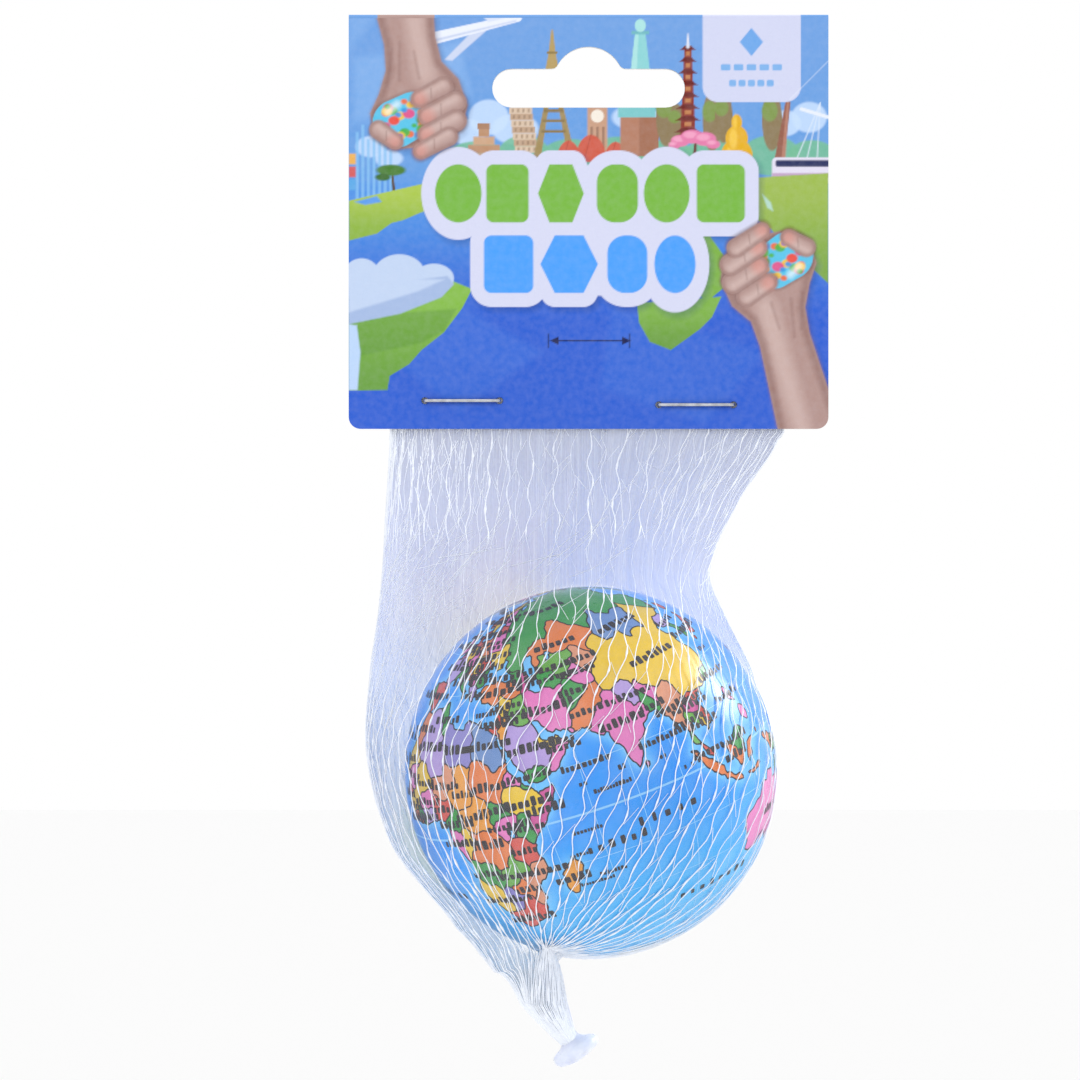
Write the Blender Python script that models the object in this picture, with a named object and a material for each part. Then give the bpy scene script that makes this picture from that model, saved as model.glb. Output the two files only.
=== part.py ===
"""Globe stress ball in a knitted net bag that hangs from a folded header card.

The frame is in metres with +Z up and the front at -Y. Its origin is the top of the card's euro slot, where a
peg carries the item. Sizes below are in millimetres, and every mesh is scaled to metres as it is made.
"""

import math

import bmesh
import bpy
from mathutils import Matrix, Vector

MM = 0.001
GAP = 0.3  # clearance between pieces that touch

# Header card: one sheet folded over at the top
CARD_WIDTH = 81.6
CARD_TOP = 5.5
CARD_BOTTOM = -65.0
CARD_SHEET = 0.35
CARD_SPACE = 1.1  # between the two leaves, where the net is trapped
CARD_CORNER = 2.0
CARD_FACE = CARD_SPACE / 2 + CARD_SHEET

# Euro slot: a bar with round ends and a raised middle that centres the item on its peg
SLOT_BAR_TOP = -3.75
SLOT_BAR_BOTTOM = -10.35
SLOT_HALF_WIDTH = 16.4
SLOT_BUMP_RADIUS = 6.0
SLOT_FILLET = 1.2

# Staples
STAPLE_CENTRES = {"staple_left": (-21.5, -60.2), "staple_right": (18.3, -60.9)}
STAPLE_HALF_CROWN = 6.35
STAPLE_WIRE_RADIUS = 0.32
STAPLE_STANDOFF = 0.15
STAPLE_BEND = 0.6
STAPLE_CLINCH = 4.2
STAPLE_HOLE_RADIUS = 0.62

# Ball
BALL_RADIUS = 31.5
BALL_CENTRE = Vector((0.25, 0.0, -123.3))
SKIN_THICKNESS = 0.8
SQUEEZE_RADIUS = 26.0  # the round area that a palm or a thumb presses in

# Net bag
NET_WALL = 0.35
NET_LEFT, NET_RIGHT = -33.8, 33.5
NET_BAND_TOP = -50.0
NET_BAND_BOTTOM = CARD_BOTTOM - 0.3
NET_BAND_THICKNESS = 0.5
NET_HUG_RADIUS = BALL_RADIUS + 2.5 * GAP + NET_WALL / 2  # the net's outer face where it lies on the ball
NECK_TOP = -66.6
NECK_BOTTOM = -88.9
POUCH_TOP = NECK_BOTTOM - GAP
POUCH_BOTTOM = -159.9
# height, left side, middle, right side, front, centre, back; the right, front and back clear the ball
NET_PROFILE = (
    (-66.6, -33.8, 0.00, 32.4, -1.0, 0.0, 1.0),
    (-77.0, -34.4, 0.05, 25.7, -8.3, 0.0, 8.3),
    (-89.0, -35.1, 0.15, 20.7, -16.1, 0.0, 16.1),
    (-97.0, -35.9, 0.25, 23.4, -21.3, 0.0, 21.3),
    (-106.0, -37.2, 0.25, 27.8, -26.7, 0.0, 26.7),
    (-121.0, -37.7, 0.25, 31.0, -31.0, 0.0, 31.0),
    (-136.7, -33.0, 0.25, 28.0, -28.0, 0.0, 28.0),
    (-150.0, -23.9, -0.6, 17.0, -19.0, -1.0, 17.0),
    (-153.0, -21.9, -2.0, 11.0, -15.2, -2.0, 11.6),
    (-154.6, -20.8, -4.5, 7.6, -13.2, -3.5, 7.2),
    (-155.4, -20.2, -6.5, 3.8, -12.4, -4.8, 3.8),
    (-156.0, -19.6, -10.5, -3.3, -11.8, -5.6, 0.4),
    (-157.0, -18.5, -11.5, -5.2, -11.0, -6.0, -1.0),
    (-159.9, -15.2, -9.8, -4.3, -10.0, -6.2, -2.4),
)

# Gathered tail and its melted button
TAIL_PIVOT = Vector((-7.2, -6.2, -163.6))
TAIL_RADIUS = 3.3
TAIL_END_RADIUS = 1.5
BUTTON_CENTRE = Vector((-1.95, -5.4, -170.4))
BUTTON_TILT = math.radians(32)  # from straight down towards +X
BUTTON_AXIS = Vector((math.sin(BUTTON_TILT), 0, -math.cos(BUTTON_TILT)))
BUTTON_RADIUS = 4.2
BUTTON_NECK = 3.1  # from the middle of the button up to the bundle of net
BUTTON_RIM = 0.75
BUTTON_DOME = 1.5

# Hinge lines
BAG_PIVOT = Vector((0.0, 0.0, CARD_BOTTOM - 0.9))
SWAY_PIVOT = Vector((0.15, 0.0, -77.0))  # straight above the mass that hangs from it

ROUND_STEPS = 34
CIRCLE_STEPS = 12

# name: base colour, roughness, metallic
MATERIALS = {
    "card_board": ((0.12, 0.31, 0.75, 1.0), 0.45, 0.0),
    "staple_wire": ((0.62, 0.63, 0.65, 1.0), 0.28, 1.0),
    "net_filament": ((0.86, 0.88, 0.95, 1.0), 0.35, 0.0),
    "ball_foam": ((0.80, 0.78, 0.72, 1.0), 0.9, 0.0),
    "ball_skin": ((0.07, 0.36, 0.85, 1.0), 0.3, 0.0),
    "button_plastic": ((0.88, 0.89, 0.95, 1.0), 0.3, 0.0),
}


def clear_scene():
    for item in list(bpy.data.objects):
        bpy.data.objects.remove(item, do_unlink=True)


def make_materials():
    made = {}
    for name, (colour, roughness, metallic) in MATERIALS.items():
        material = bpy.data.materials.new(name)
        material.use_nodes = True
        shader = material.node_tree.nodes["Principled BSDF"]
        shader.inputs["Base Color"].default_value = colour
        shader.inputs["Roughness"].default_value = roughness
        shader.inputs["Metallic"].default_value = metallic
        made[name] = material
    return made


def make_pivot(name, place, parent=None):
    """An empty on a joint's axis. Its children keep their own places in the shared frame."""
    pivot = bpy.data.objects.new(name, None)
    pivot.empty_display_size = 5 * MM
    pivot["place"] = list(place)
    from_parent = place - Vector(parent["place"]) if parent else place
    pivot.location = from_parent * MM
    pivot.parent = parent
    bpy.context.scene.collection.objects.link(pivot)
    return pivot


def link_piece(name, data, material, pivot):
    """Links a piece whose data is already in its pivot's frame, so that its origin is on its joint."""
    piece = bpy.data.objects.new(name, data)
    piece.data.materials.append(material)
    piece.parent = pivot
    bpy.context.scene.collection.objects.link(piece)
    return piece


def add_mesh(name, bm, material, pivot, smooth_angle=35):
    bmesh.ops.recalc_face_normals(bm, faces=bm.faces)
    bm.transform(Matrix.Scale(MM, 4) @ Matrix.Translation(-Vector(pivot["place"])))
    mesh = bpy.data.meshes.new(name)
    bm.to_mesh(mesh)
    bm.free()
    mesh.shade_smooth()
    mesh.set_sharp_from_angle(angle=math.radians(smooth_angle))
    return link_piece(name, mesh, material, pivot)


def cut_with(item, cutter, operation="DIFFERENCE"):
    cutter.hide_render = True
    cutter.display_type = "WIRE"
    boolean = item.modifiers.new(cutter.name, "BOOLEAN")
    boolean.operation = operation
    boolean.object = cutter
    return item


def arc(centre, radius, start, end, steps):
    """Points on a circle in a plane, from one angle to another in degrees, both ends included."""
    angles = [math.radians(start + (end - start) * i / steps) for i in range(steps + 1)]
    return [(centre[0] + radius * math.cos(a), centre[1] + radius * math.sin(a)) for a in angles]


def prism(outline, low, high, along):
    """A closed outline extruded along an axis. An outline point is (x, z) along Y, or (y, z) along X."""
    bm = bmesh.new()
    if along == "Y":
        corners = [bm.verts.new((x, low, z)) for x, z in outline]
        shift = (0, high - low, 0)
    else:
        corners = [bm.verts.new((low, y, z)) for y, z in outline]
        shift = (high - low, 0, 0)
    side = bm.faces.new(corners)
    walls = bmesh.ops.extrude_face_region(bm, geom=[side], use_keep_orig=True)
    moved = [v for v in walls["geom"] if isinstance(v, bmesh.types.BMVert)]
    bmesh.ops.translate(bm, verts=moved, vec=shift)
    return bm


def turned(profile, centre, direction, steps):
    """A profile of (radius, distance along the direction) turned about a line through the centre."""
    bm = bmesh.new()
    across = Vector((0, 1, 0)) if abs(direction.y) < 0.5 else Vector((1, 0, 0))
    across = (across - direction * across.dot(direction)).normalized()
    points = [bm.verts.new(centre + across * r + direction * d) for r, d in profile]
    ring = [bm.edges.new(pair) for pair in zip(points, points[1:])]
    if profile[0][0] > 0:
        ring.append(bm.edges.new((points[-1], points[0])))
    outline = points + ring
    bmesh.ops.spin(bm, geom=outline, cent=centre, axis=direction, angle=math.tau, steps=steps, use_merge=True)
    bmesh.ops.remove_doubles(bm, verts=bm.verts, dist=1e-4)
    return bm


# ---------------------------------------------------------------- header card


def card_section():
    """The folded sheet seen from its side: two leaves joined by a half round at the top."""
    outer, inner = CARD_FACE, CARD_SPACE / 2
    fold = (0, CARD_TOP - outer)
    return (
        [(-outer, CARD_BOTTOM - 1)]
        + arc(fold, outer, 180, 0, CIRCLE_STEPS)
        + [(outer, CARD_BOTTOM - 1), (inner, CARD_BOTTOM - 1)]
        + arc(fold, inner, 0, 180, CIRCLE_STEPS)
        + [(-inner, CARD_BOTTOM - 1)]
    )


def card_outline():
    """The card seen from the front, with its two bottom corners rounded."""
    side = CARD_WIDTH / 2
    middle = side - CARD_CORNER
    low = CARD_BOTTOM + CARD_CORNER
    return (
        [(-side, CARD_TOP + 1)]
        + arc((-middle, low), CARD_CORNER, 180, 270, 6)
        + arc((middle, low), CARD_CORNER, 270, 360, 6)
        + [(side, CARD_TOP + 1)]
    )


def slot_outline():
    bump_z = -SLOT_BUMP_RADIUS
    end_radius = (SLOT_BAR_TOP - SLOT_BAR_BOTTOM) / 2
    end_x = SLOT_HALF_WIDTH - end_radius
    end_z = (SLOT_BAR_TOP + SLOT_BAR_BOTTOM) / 2
    fillet_z = SLOT_BAR_TOP + SLOT_FILLET
    fillet_x = math.sqrt((SLOT_BUMP_RADIUS + SLOT_FILLET) ** 2 - (fillet_z - bump_z) ** 2)
    meet = math.degrees(math.atan2(fillet_z - bump_z, fillet_x))
    return (
        arc((end_x, end_z), end_radius, -90, 90, CIRCLE_STEPS)
        + arc((fillet_x, fillet_z), SLOT_FILLET, 270, 180 + meet, 5)
        + arc((0, bump_z), SLOT_BUMP_RADIUS, meet, 180 - meet, 2 * CIRCLE_STEPS)[1:-1]
        + arc((-fillet_x, fillet_z), SLOT_FILLET, -meet, -90, 5)
        + arc((-end_x, end_z), end_radius, 90, 270, CIRCLE_STEPS)
    )


def staple_holes(reach):
    holes = []
    for x, z in STAPLE_CENTRES.values():
        for leg in (x - STAPLE_HALF_CROWN, x + STAPLE_HALF_CROWN):
            outline = arc((leg, z), STAPLE_HOLE_RADIUS, 0, 360, 8)[:-1]
            holes.append(prism(outline, -reach, reach, "Y"))
    return holes


def punch_staple_holes(item, material, pivot, reach):
    for number, hole in enumerate(staple_holes(reach), 1):
        cutter = add_mesh(f"{item.name}_hole_{number}", hole, material, pivot)
        cut_with(item, cutter)


def make_header_card(material, pivot):
    side = CARD_WIDTH / 2 + 1
    card = add_mesh("header_card", prism(card_section(), -side, side, "X"), material, pivot)
    outline = add_mesh("card_outline", prism(card_outline(), -3, 3, "Y"), material, pivot)
    slot = add_mesh("euro_slot", prism(slot_outline(), -4, 4, "Y"), material, pivot)
    cut_with(card, outline, "INTERSECT")
    cut_with(card, slot)
    punch_staple_holes(card, material, pivot, 4)
    return card


def make_staple(name, material, pivot):
    """A wire staple: its crown on the front leaf, its legs through the card, its ends clinched behind."""
    x, z = STAPLE_CENTRES[name]
    face = CARD_FACE + STAPLE_STANDOFF + STAPLE_WIRE_RADIUS
    bend = STAPLE_BEND
    legs = STAPLE_HALF_CROWN
    half = [(legs - STAPLE_CLINCH, face), (legs - 2 * bend, face)]
    half += arc((legs - bend, face - bend), bend, 90, 0, 4)
    half += arc((legs - bend, bend - face), bend, 0, -90, 4)
    path = half + [(-across, y) for across, y in reversed(half)]
    curve = bpy.data.curves.new(name, "CURVE")
    curve.dimensions = "3D"
    curve.bevel_depth = STAPLE_WIRE_RADIUS * MM
    curve.bevel_resolution = 2
    curve.use_fill_caps = True
    spline = curve.splines.new("POLY")
    spline.points.add(len(path) - 1)
    for point, (across, y) in zip(spline.points, path):
        place = (Vector((x + across, y, z)) - Vector(pivot["place"])) * MM
        point.co = (*place, 1)
    return link_piece(name, curve, material, pivot)


# ---------------------------------------------------------------- ball


def skin_arc(radius, start, end, step=7.5):
    """(radius, distance) points of a sphere, its angle in degrees from the pole that is nearer the front."""
    steps = max(2, round(abs(end - start) / step))
    return [(max(0.0, x), y) for y, x in arc((0, 0), radius, start, end, steps)]


def skin_profile(start, end):
    """A wall between two cylinders about the ball's front-to-back line, or from the pole to one of them."""
    inner = BALL_RADIUS - SKIN_THICKNESS

    def angle(radius, limit):
        side, edge = limit
        at = math.degrees(math.asin(edge / radius))
        return at if side == "front" else 180 - at

    outer_wall = skin_arc(BALL_RADIUS, angle(BALL_RADIUS, start), angle(BALL_RADIUS, end))
    inner_wall = skin_arc(inner, angle(inner, end), angle(inner, start))
    return outer_wall + inner_wall


def make_ball(materials, ball_pivot, front_pivot, back_pivot):
    forwards = Vector((0, -1, 0))
    core = skin_arc(BALL_RADIUS - SKIN_THICKNESS - GAP, 0, 180, 9)
    press = skin_profile(("front", 0.0), ("front", SQUEEZE_RADIUS))
    belt_edge = SQUEEZE_RADIUS + GAP
    belt = skin_profile(("front", belt_edge), ("back", belt_edge))
    pieces = (
        ("foam_core", core, forwards, "ball_foam", ball_pivot),
        ("skin_belt", belt, forwards, "ball_skin", ball_pivot),
        ("skin_front", press, forwards, "ball_skin", front_pivot),
        ("skin_back", press, -forwards, "ball_skin", back_pivot),
    )
    for name, profile, direction, slot, pivot in pieces:
        solid = turned(profile, BALL_CENTRE, direction, ROUND_STEPS)
        add_mesh(name, solid, materials[slot], pivot)


# ---------------------------------------------------------------- net bag


def net_section(height):
    """The net's six outlines at a height, on smooth curves through NET_PROFILE."""
    rows = [NET_PROFILE[0], *NET_PROFILE, NET_PROFILE[-1]]
    span = next((i for i in range(1, len(rows) - 2) if height >= rows[i + 1][0]), len(rows) - 3)
    before, low, high, after = rows[span - 1 : span + 3]
    t = (height - low[0]) / (high[0] - low[0])
    left, middle, right, front, centre, back = (
        0.5 * (2 * b + (c - a) * t + (2 * a - 5 * b + 4 * c - d) * t**2 + (3 * b - 3 * c + d - a) * t**3)
        for a, b, c, d in zip(before[1:], low[1:], high[1:], after[1:])
    )
    rise = height - BALL_CENTRE.z
    if abs(rise) < NET_HUG_RADIUS:
        hug = math.sqrt(NET_HUG_RADIUS**2 - rise**2)
        right = max(right, BALL_CENTRE.x + hug)
        front, back = min(front, -hug), max(back, hug)
    return left, middle, right, front, centre, back


def net_ring(bm, height, wall=0.0):
    """An egg-shaped ring: four quarter ellipses round one middle point."""
    left, middle, right, front, centre, back = net_section(height)
    ring = []
    for i in range(ROUND_STEPS):
        across, along = math.cos(math.tau * i / ROUND_STEPS), math.sin(math.tau * i / ROUND_STEPS)
        x_reach = right - middle if across > 0 else middle - left
        y_reach = back - centre if along > 0 else centre - front
        place = (middle + (x_reach - wall) * across, centre + (y_reach - wall) * along, height)
        ring.append(bm.verts.new(place))
    return ring


def join_rings(bm, rings):
    for upper, lower in zip(rings, rings[1:]):
        for i in range(ROUND_STEPS):
            j = (i + 1) % ROUND_STEPS
            bm.faces.new((upper[i], upper[j], lower[j], lower[i]))


def spread(start, end, steps):
    return [start + (end - start) * i / steps for i in range(steps + 1)]


def make_net_header_band(material, pivot):
    half = NET_BAND_THICKNESS / 2
    outline = [(-half, NET_BAND_BOTTOM), (half, NET_BAND_BOTTOM), (half, NET_BAND_TOP), (-half, NET_BAND_TOP)]
    band = add_mesh("net_header_band", prism(outline, NET_LEFT, NET_RIGHT, "X"), material, pivot)
    punch_staple_holes(band, material, pivot, 2)
    return band


def make_net_neck(material, pivot):
    """A tube with a thin wall, almost flat where it leaves the card."""
    bm = bmesh.new()
    heights = spread(NECK_TOP, NECK_BOTTOM, 6)
    outer = [net_ring(bm, height) for height in heights]
    inner = [net_ring(bm, height, NET_WALL) for height in reversed(heights)]
    join_rings(bm, outer + inner + outer[:1])
    return add_mesh("net_neck", bm, material, pivot, 60)


def make_net_pouch(material, pivot):
    """The bag round the ball, open above into the neck and below into the tail."""
    bm = bmesh.new()
    heights = spread(POUCH_TOP, -150.0, 12)
    heights += [-152.0, -153.4, -154.6, -155.4, -156.0, -157.0, -158.4, POUCH_BOTTOM]
    join_rings(bm, [net_ring(bm, height) for height in heights])
    pouch = add_mesh("net_pouch", bm, material, pivot, 60)
    wall = pouch.modifiers.new("wall", "SOLIDIFY")
    wall.thickness = NET_WALL * MM
    wall.offset = -1
    return pouch


def make_net_tail(material, pivot):
    """The bunched end of the net: round about its pivot, narrowing to the button's neck."""
    end = BUTTON_CENTRE - BUTTON_AXIS * (BUTTON_NECK + GAP)
    along = end - TAIL_PIVOT
    dome = [(max(0.0, r), d) for r, d in arc((0, 0), TAIL_RADIUS, -90, 0, 5)]
    profile = dome + [(TAIL_END_RADIUS, along.length), (0.0, along.length)]
    tail = turned(profile, TAIL_PIVOT, along.normalized(), 20)
    return add_mesh("net_tail", tail, material, pivot, 60)


def make_end_button(material, pivot):
    """The melted end: a neck that flares into a thick rim under a shallow dome."""
    rim_centre = (BUTTON_RADIUS - BUTTON_RIM, 0.0)
    rim = arc(rim_centre, BUTTON_RIM, -80, 80, 6)
    neck = [(0.0, 1.0), (TAIL_END_RADIUS, 1.0), (1.1 * TAIL_END_RADIUS, 0.6), (1.5 * TAIL_END_RADIUS, 0.4)]
    profile = [(radius, -BUTTON_NECK * share) for radius, share in neck]
    profile += [*rim, (0.5 * BUTTON_RADIUS, 0.85 * BUTTON_DOME), (0.0, BUTTON_DOME)]
    button = turned(profile, BUTTON_CENTRE, BUTTON_AXIS, 24)
    return add_mesh("end_button", button, material, pivot, 50)


def main():
    clear_scene()
    materials = make_materials()
    card = make_pivot("card_frame", Vector((0.0, 0.0, 0.0)))
    bag = make_pivot("bag_swing_axis", BAG_PIVOT, card)
    sway = make_pivot("ball_sway_axis", SWAY_PIVOT, bag)
    ball = make_pivot("ball_turn_axis", BALL_CENTRE, sway)
    front = make_pivot("squeeze_front_axis", BALL_CENTRE, ball)
    back = make_pivot("squeeze_back_axis", BALL_CENTRE, ball)
    tail = make_pivot("tail_swing_axis", TAIL_PIVOT, sway)

    make_header_card(materials["card_board"], card)
    for name in STAPLE_CENTRES:
        make_staple(name, materials["staple_wire"], card)
    make_net_header_band(materials["net_filament"], card)
    make_net_neck(materials["net_filament"], bag)
    make_net_pouch(materials["net_filament"], sway)
    make_ball(materials, ball, front, back)
    make_net_tail(materials["net_filament"], tail)
    make_end_button(materials["button_plastic"], tail)


main()
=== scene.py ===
"""Looks of the globe stress ball in its net bag with a header card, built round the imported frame."""

import math

import bmesh
import bpy
import numpy as np
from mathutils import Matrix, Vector


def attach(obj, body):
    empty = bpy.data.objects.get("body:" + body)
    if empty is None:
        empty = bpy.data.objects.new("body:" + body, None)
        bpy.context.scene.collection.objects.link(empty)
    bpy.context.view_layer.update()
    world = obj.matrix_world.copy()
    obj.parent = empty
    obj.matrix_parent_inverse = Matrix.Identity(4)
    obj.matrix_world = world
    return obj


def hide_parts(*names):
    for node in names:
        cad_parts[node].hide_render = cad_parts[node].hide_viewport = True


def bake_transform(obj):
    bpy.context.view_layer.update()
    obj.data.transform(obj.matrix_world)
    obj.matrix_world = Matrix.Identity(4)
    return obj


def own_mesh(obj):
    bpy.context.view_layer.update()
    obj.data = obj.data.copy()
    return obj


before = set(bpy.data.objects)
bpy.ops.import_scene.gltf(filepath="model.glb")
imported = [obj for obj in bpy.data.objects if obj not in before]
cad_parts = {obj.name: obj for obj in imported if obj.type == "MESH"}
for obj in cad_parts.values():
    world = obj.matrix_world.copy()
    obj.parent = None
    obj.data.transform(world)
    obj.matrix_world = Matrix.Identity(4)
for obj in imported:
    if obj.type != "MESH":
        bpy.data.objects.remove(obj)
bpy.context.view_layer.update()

MM = 0.001
BALL_CENTRE = np.array([0.25, 0.0, -123.3])
BALL_RADIUS = 31.5
CARD_LEFT, CARD_RIGHT, CARD_TOP, CARD_BOTTOM = -40.8, 40.8, 5.5, -65.0
CARD_FACE = 0.9
STAPLES = ((-21.5, -60.2), (18.3, -60.9))
rng = np.random.default_rng(7)


def linear(code):
    """A six-digit sRGB colour as linear numbers."""
    parts = np.array([int(code[i : i + 2], 16) / 255 for i in (0, 2, 4)])
    return np.where(parts <= 0.04045, parts / 12.92, ((parts + 0.055) / 1.055) ** 2.4)


def step(low, high, value):
    """0 at low, 1 at high, smooth between."""
    t = np.clip((value - low) / (high - low), 0, 1)
    return t * t * (3 - 2 * t)


def rows(text):
    """Rows of numbers from a text such as "-6 36, -2 35.2"."""
    return [tuple(float(number) for number in row.split()) for row in text.split(",")]


def grid_faces(high, wide):
    """Four-cornered faces between the points of a grid that are numbered row by row."""
    number = np.arange(high * wide).reshape(high, wide)
    return np.stack([number[:-1, :-1], number[1:, :-1], number[1:, 1:], number[:-1, 1:]], -1).reshape(-1, 4)


def unit(vectors):
    return vectors / np.linalg.norm(vectors, axis=-1, keepdims=True)


# ---------------------------------------------------------------- stage


def make_stage():
    scene = bpy.context.scene
    scene.view_settings.view_transform = "Standard"
    camera = bpy.data.cameras.new("camera")
    camera.lens = 235
    camera.clip_end = 20
    seen = bpy.data.objects.new("camera", camera)
    scene.collection.objects.link(seen)
    seen.location = (-0.00826, -1.2, -0.0839)
    seen.rotation_euler = (math.radians(90), 0, 0)
    scene.camera = seen

    world = bpy.data.worlds.new("studio")
    scene.world = world
    world.use_nodes = True
    world.node_tree.nodes["Background"].inputs[0].default_value = (1, 1, 1, 1)
    world.node_tree.nodes["Background"].inputs[1].default_value = 1.0

    def lamp(name, place, size, power):
        light = bpy.data.lights.new(name, "AREA")
        light.shape = "RECTANGLE"
        light.size, light.size_y = size
        light.energy = power
        holder = bpy.data.objects.new(name, light)
        scene.collection.objects.link(holder)
        holder.location = place
        aim = Vector((0, 0, -0.1)) - Vector(place)
        holder.rotation_euler = aim.to_track_quat("-Z", "Y").to_euler()
        holder.visible_camera = False

    lamp("key", (0.80, 0.30, 0.40), (0.2, 0.4), 6.5)
    lamp("front", (-0.35, -1.3, 0.7), (0.9, 0.9), 2.4)
    lamp("fill", (-0.9, -0.2, 0.1), (0.5, 0.8), 0.8)

    floor = bpy.data.meshes.new("floor")
    mesh = bmesh.new()
    bmesh.ops.create_grid(mesh, x_segments=2, y_segments=2, size=30)
    mesh.to_mesh(floor)
    mesh.free()
    ground = bpy.data.objects.new("floor", floor)
    ground.location = (0, 0, -0.85)
    scene.collection.objects.link(ground)
    pale = bpy.data.materials.new("floor_pale")
    pale.use_nodes = True
    pale.node_tree.nodes["Principled BSDF"].inputs["Base Color"].default_value = (0.97, 0.97, 0.97, 1)
    pale.node_tree.nodes["Principled BSDF"].inputs["Roughness"].default_value = 0.9
    floor.materials.append(pale)


# ---------------------------------------------------------------- materials


class Paint:
    """A Principled material and short ways to add its nodes."""

    def __init__(self, name, colour, roughness, **values):
        self.material = bpy.data.materials.new(name)
        self.material.use_nodes = True
        self.tree = self.material.node_tree
        self.shader = self.tree.nodes["Principled BSDF"]
        self.shader.inputs["Base Color"].default_value = (*colour, 1)
        self.shader.inputs["Roughness"].default_value = roughness
        for socket, value in values.items():
            self.shader.inputs[socket.replace("_", " ")].default_value = value
        self.place = self.tree.nodes.new("ShaderNodeTexCoord").outputs["Object"]

    def link(self, start, end):
        self.tree.links.new(start, end)

    def noise(self, scale, detail=2.0, stretch=None, vector=None):
        """A noise between 0 and 1; stretch squeezes it along each axis."""
        source = vector or self.place
        if stretch:
            mapping = self.tree.nodes.new("ShaderNodeMapping")
            mapping.inputs["Scale"].default_value = stretch
            self.link(source, mapping.inputs["Vector"])
            source = mapping.outputs["Vector"]
        node = self.tree.nodes.new("ShaderNodeTexNoise")
        node.inputs["Scale"].default_value = scale
        node.inputs["Detail"].default_value = detail
        self.link(source, node.inputs["Vector"])
        return node.outputs["Fac"]

    def spread(self, source, low, high, start=0.3, end=0.7):
        """Maps start..end of a value to low..high."""
        node = self.tree.nodes.new("ShaderNodeMapRange")
        for socket, value in zip(("From Min", "From Max", "To Min", "To Max"), (start, end, low, high)):
            node.inputs[socket].default_value = value
        self.link(source, node.inputs["Value"])
        return node.outputs["Result"]

    def join(self, kind, first, second):
        node = self.tree.nodes.new("ShaderNodeMath")
        node.operation = kind
        for socket, value in zip(node.inputs, (first, second)):
            if isinstance(value, (int, float)):
                socket.default_value = value
            else:
                self.link(value, socket)
        return node.outputs["Value"]

    def attribute(self, name, colour=False):
        node = self.tree.nodes.new("ShaderNodeAttribute")
        node.attribute_name = name
        return node.outputs["Color" if colour else "Fac"]

    def mix(self, fac, first, second):
        node = self.tree.nodes.new("ShaderNodeMix")
        node.data_type = "RGBA"
        for socket, value in ((node.inputs[0], fac), (node.inputs[6], first), (node.inputs[7], second)):
            if isinstance(value, (int, float)):
                socket.default_value = value
            elif isinstance(value, (tuple, list, np.ndarray)):
                socket.default_value = (*value[:3], 1)
            else:
                self.link(value, socket)
        return node.outputs[2]

    def bump(self, height, strength, distance):
        node = self.tree.nodes.new("ShaderNodeBump")
        node.inputs["Strength"].default_value = strength
        node.inputs["Distance"].default_value = distance
        self.link(height, node.inputs["Height"])
        self.link(node.outputs["Normal"], self.shader.inputs["Normal"])

    def set(self, socket, value):
        self.link(value, self.shader.inputs[socket])


def ball_material():
    """Glossy printed skin of the foam ball."""
    paint = Paint("ball_print", (0.1, 0.4, 0.9), 0.3, Specular_IOR_Level=0.3, Coat_Weight=0.5)
    paint.shader.inputs["Coat Roughness"].default_value = 0.26
    ink = paint.attribute("print", colour=True)
    blotch = paint.noise(210, 3)
    dots = paint.noise(2600, 1)
    tone = paint.mix(paint.spread(blotch, 0.0, 0.06), ink, (0.95, 0.97, 1.0))
    paint.set("Base Color", paint.mix(paint.spread(dots, 0.0, 0.08), tone, (0.02, 0.10, 0.30)))
    paint.set("Roughness", paint.spread(paint.noise(380, 3), 0.26, 0.40))
    paint.bump(paint.noise(520, 4), 0.10, 0.0003)
    return paint.material


def ink_material(name, colour):
    paint = Paint(name, colour, 0.4)
    paint.set("Roughness", paint.spread(paint.noise(900), 0.32, 0.5))
    paint.bump(paint.noise(1500), 0.1, 0.0001)
    return paint.material


def strand_material():
    """Clear white filament, shiny along its length."""
    paint = Paint("net_strand", (0.86, 0.90, 0.98), 0.22, Specular_IOR_Level=0.7)
    paint.set("Roughness", paint.spread(paint.noise(700), 0.14, 0.38))
    paint.bump(paint.noise(2400), 0.2, 0.0001)
    return paint.material


def haze_material():
    """The closest and finest filaments of the net, seen together as a pale streaked film."""
    paint = Paint("net_fine", (0.62, 0.68, 0.86), 0.5, Specular_IOR_Level=0.25)
    flow = paint.attribute("flow", colour=True)
    fine = paint.noise(1.0, 3, (190, 0.05, 1), flow)
    broad = paint.noise(1.0, 2, (26, 0.03, 1), flow)
    cross = paint.noise(1.0, 2, (60, 0.6, 1), flow)
    streaks = paint.join("ADD", paint.spread(fine, -0.14, 0.16), paint.spread(broad, -0.10, 0.10))
    alpha = paint.join("MULTIPLY", paint.attribute("haze"), paint.join("ADD", 1.0, streaks))
    paint.set("Alpha", paint.join("MINIMUM", paint.join("MAXIMUM", alpha, 0.0), 0.97))
    split = paint.tree.nodes.new("ShaderNodeSeparateXYZ")
    paint.link(flow, split.inputs[0])
    low = paint.spread(split.outputs["Y"], 0.0, 1.0, 95.0, 138.0)
    shade = paint.mix(low, (0.60, 0.64, 0.84), (0.66, 0.82, 0.98))
    # Painted shadow: the film turns darker towards the card's bottom edge, where the card shades it
    shade = paint.mix(paint.spread(split.outputs["Y"], 0.75, 0.0, 63.0, 76.0), shade, (0.40, 0.43, 0.58))
    shade = paint.mix(paint.spread(split.outputs["Y"], 0.0, 0.7, 153.0, 162.0), shade, (0.86, 0.91, 0.98))
    paint.set("Base Color", paint.mix(paint.spread(fine, 0.0, 1.0, 0.45, 0.75), shade, (0.80, 0.86, 0.97)))
    paint.set("Roughness", paint.spread(cross, 0.35, 0.6))
    paint.bump(paint.join("ADD", fine, cross), 0.4, 0.0003)
    return paint.material


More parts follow.
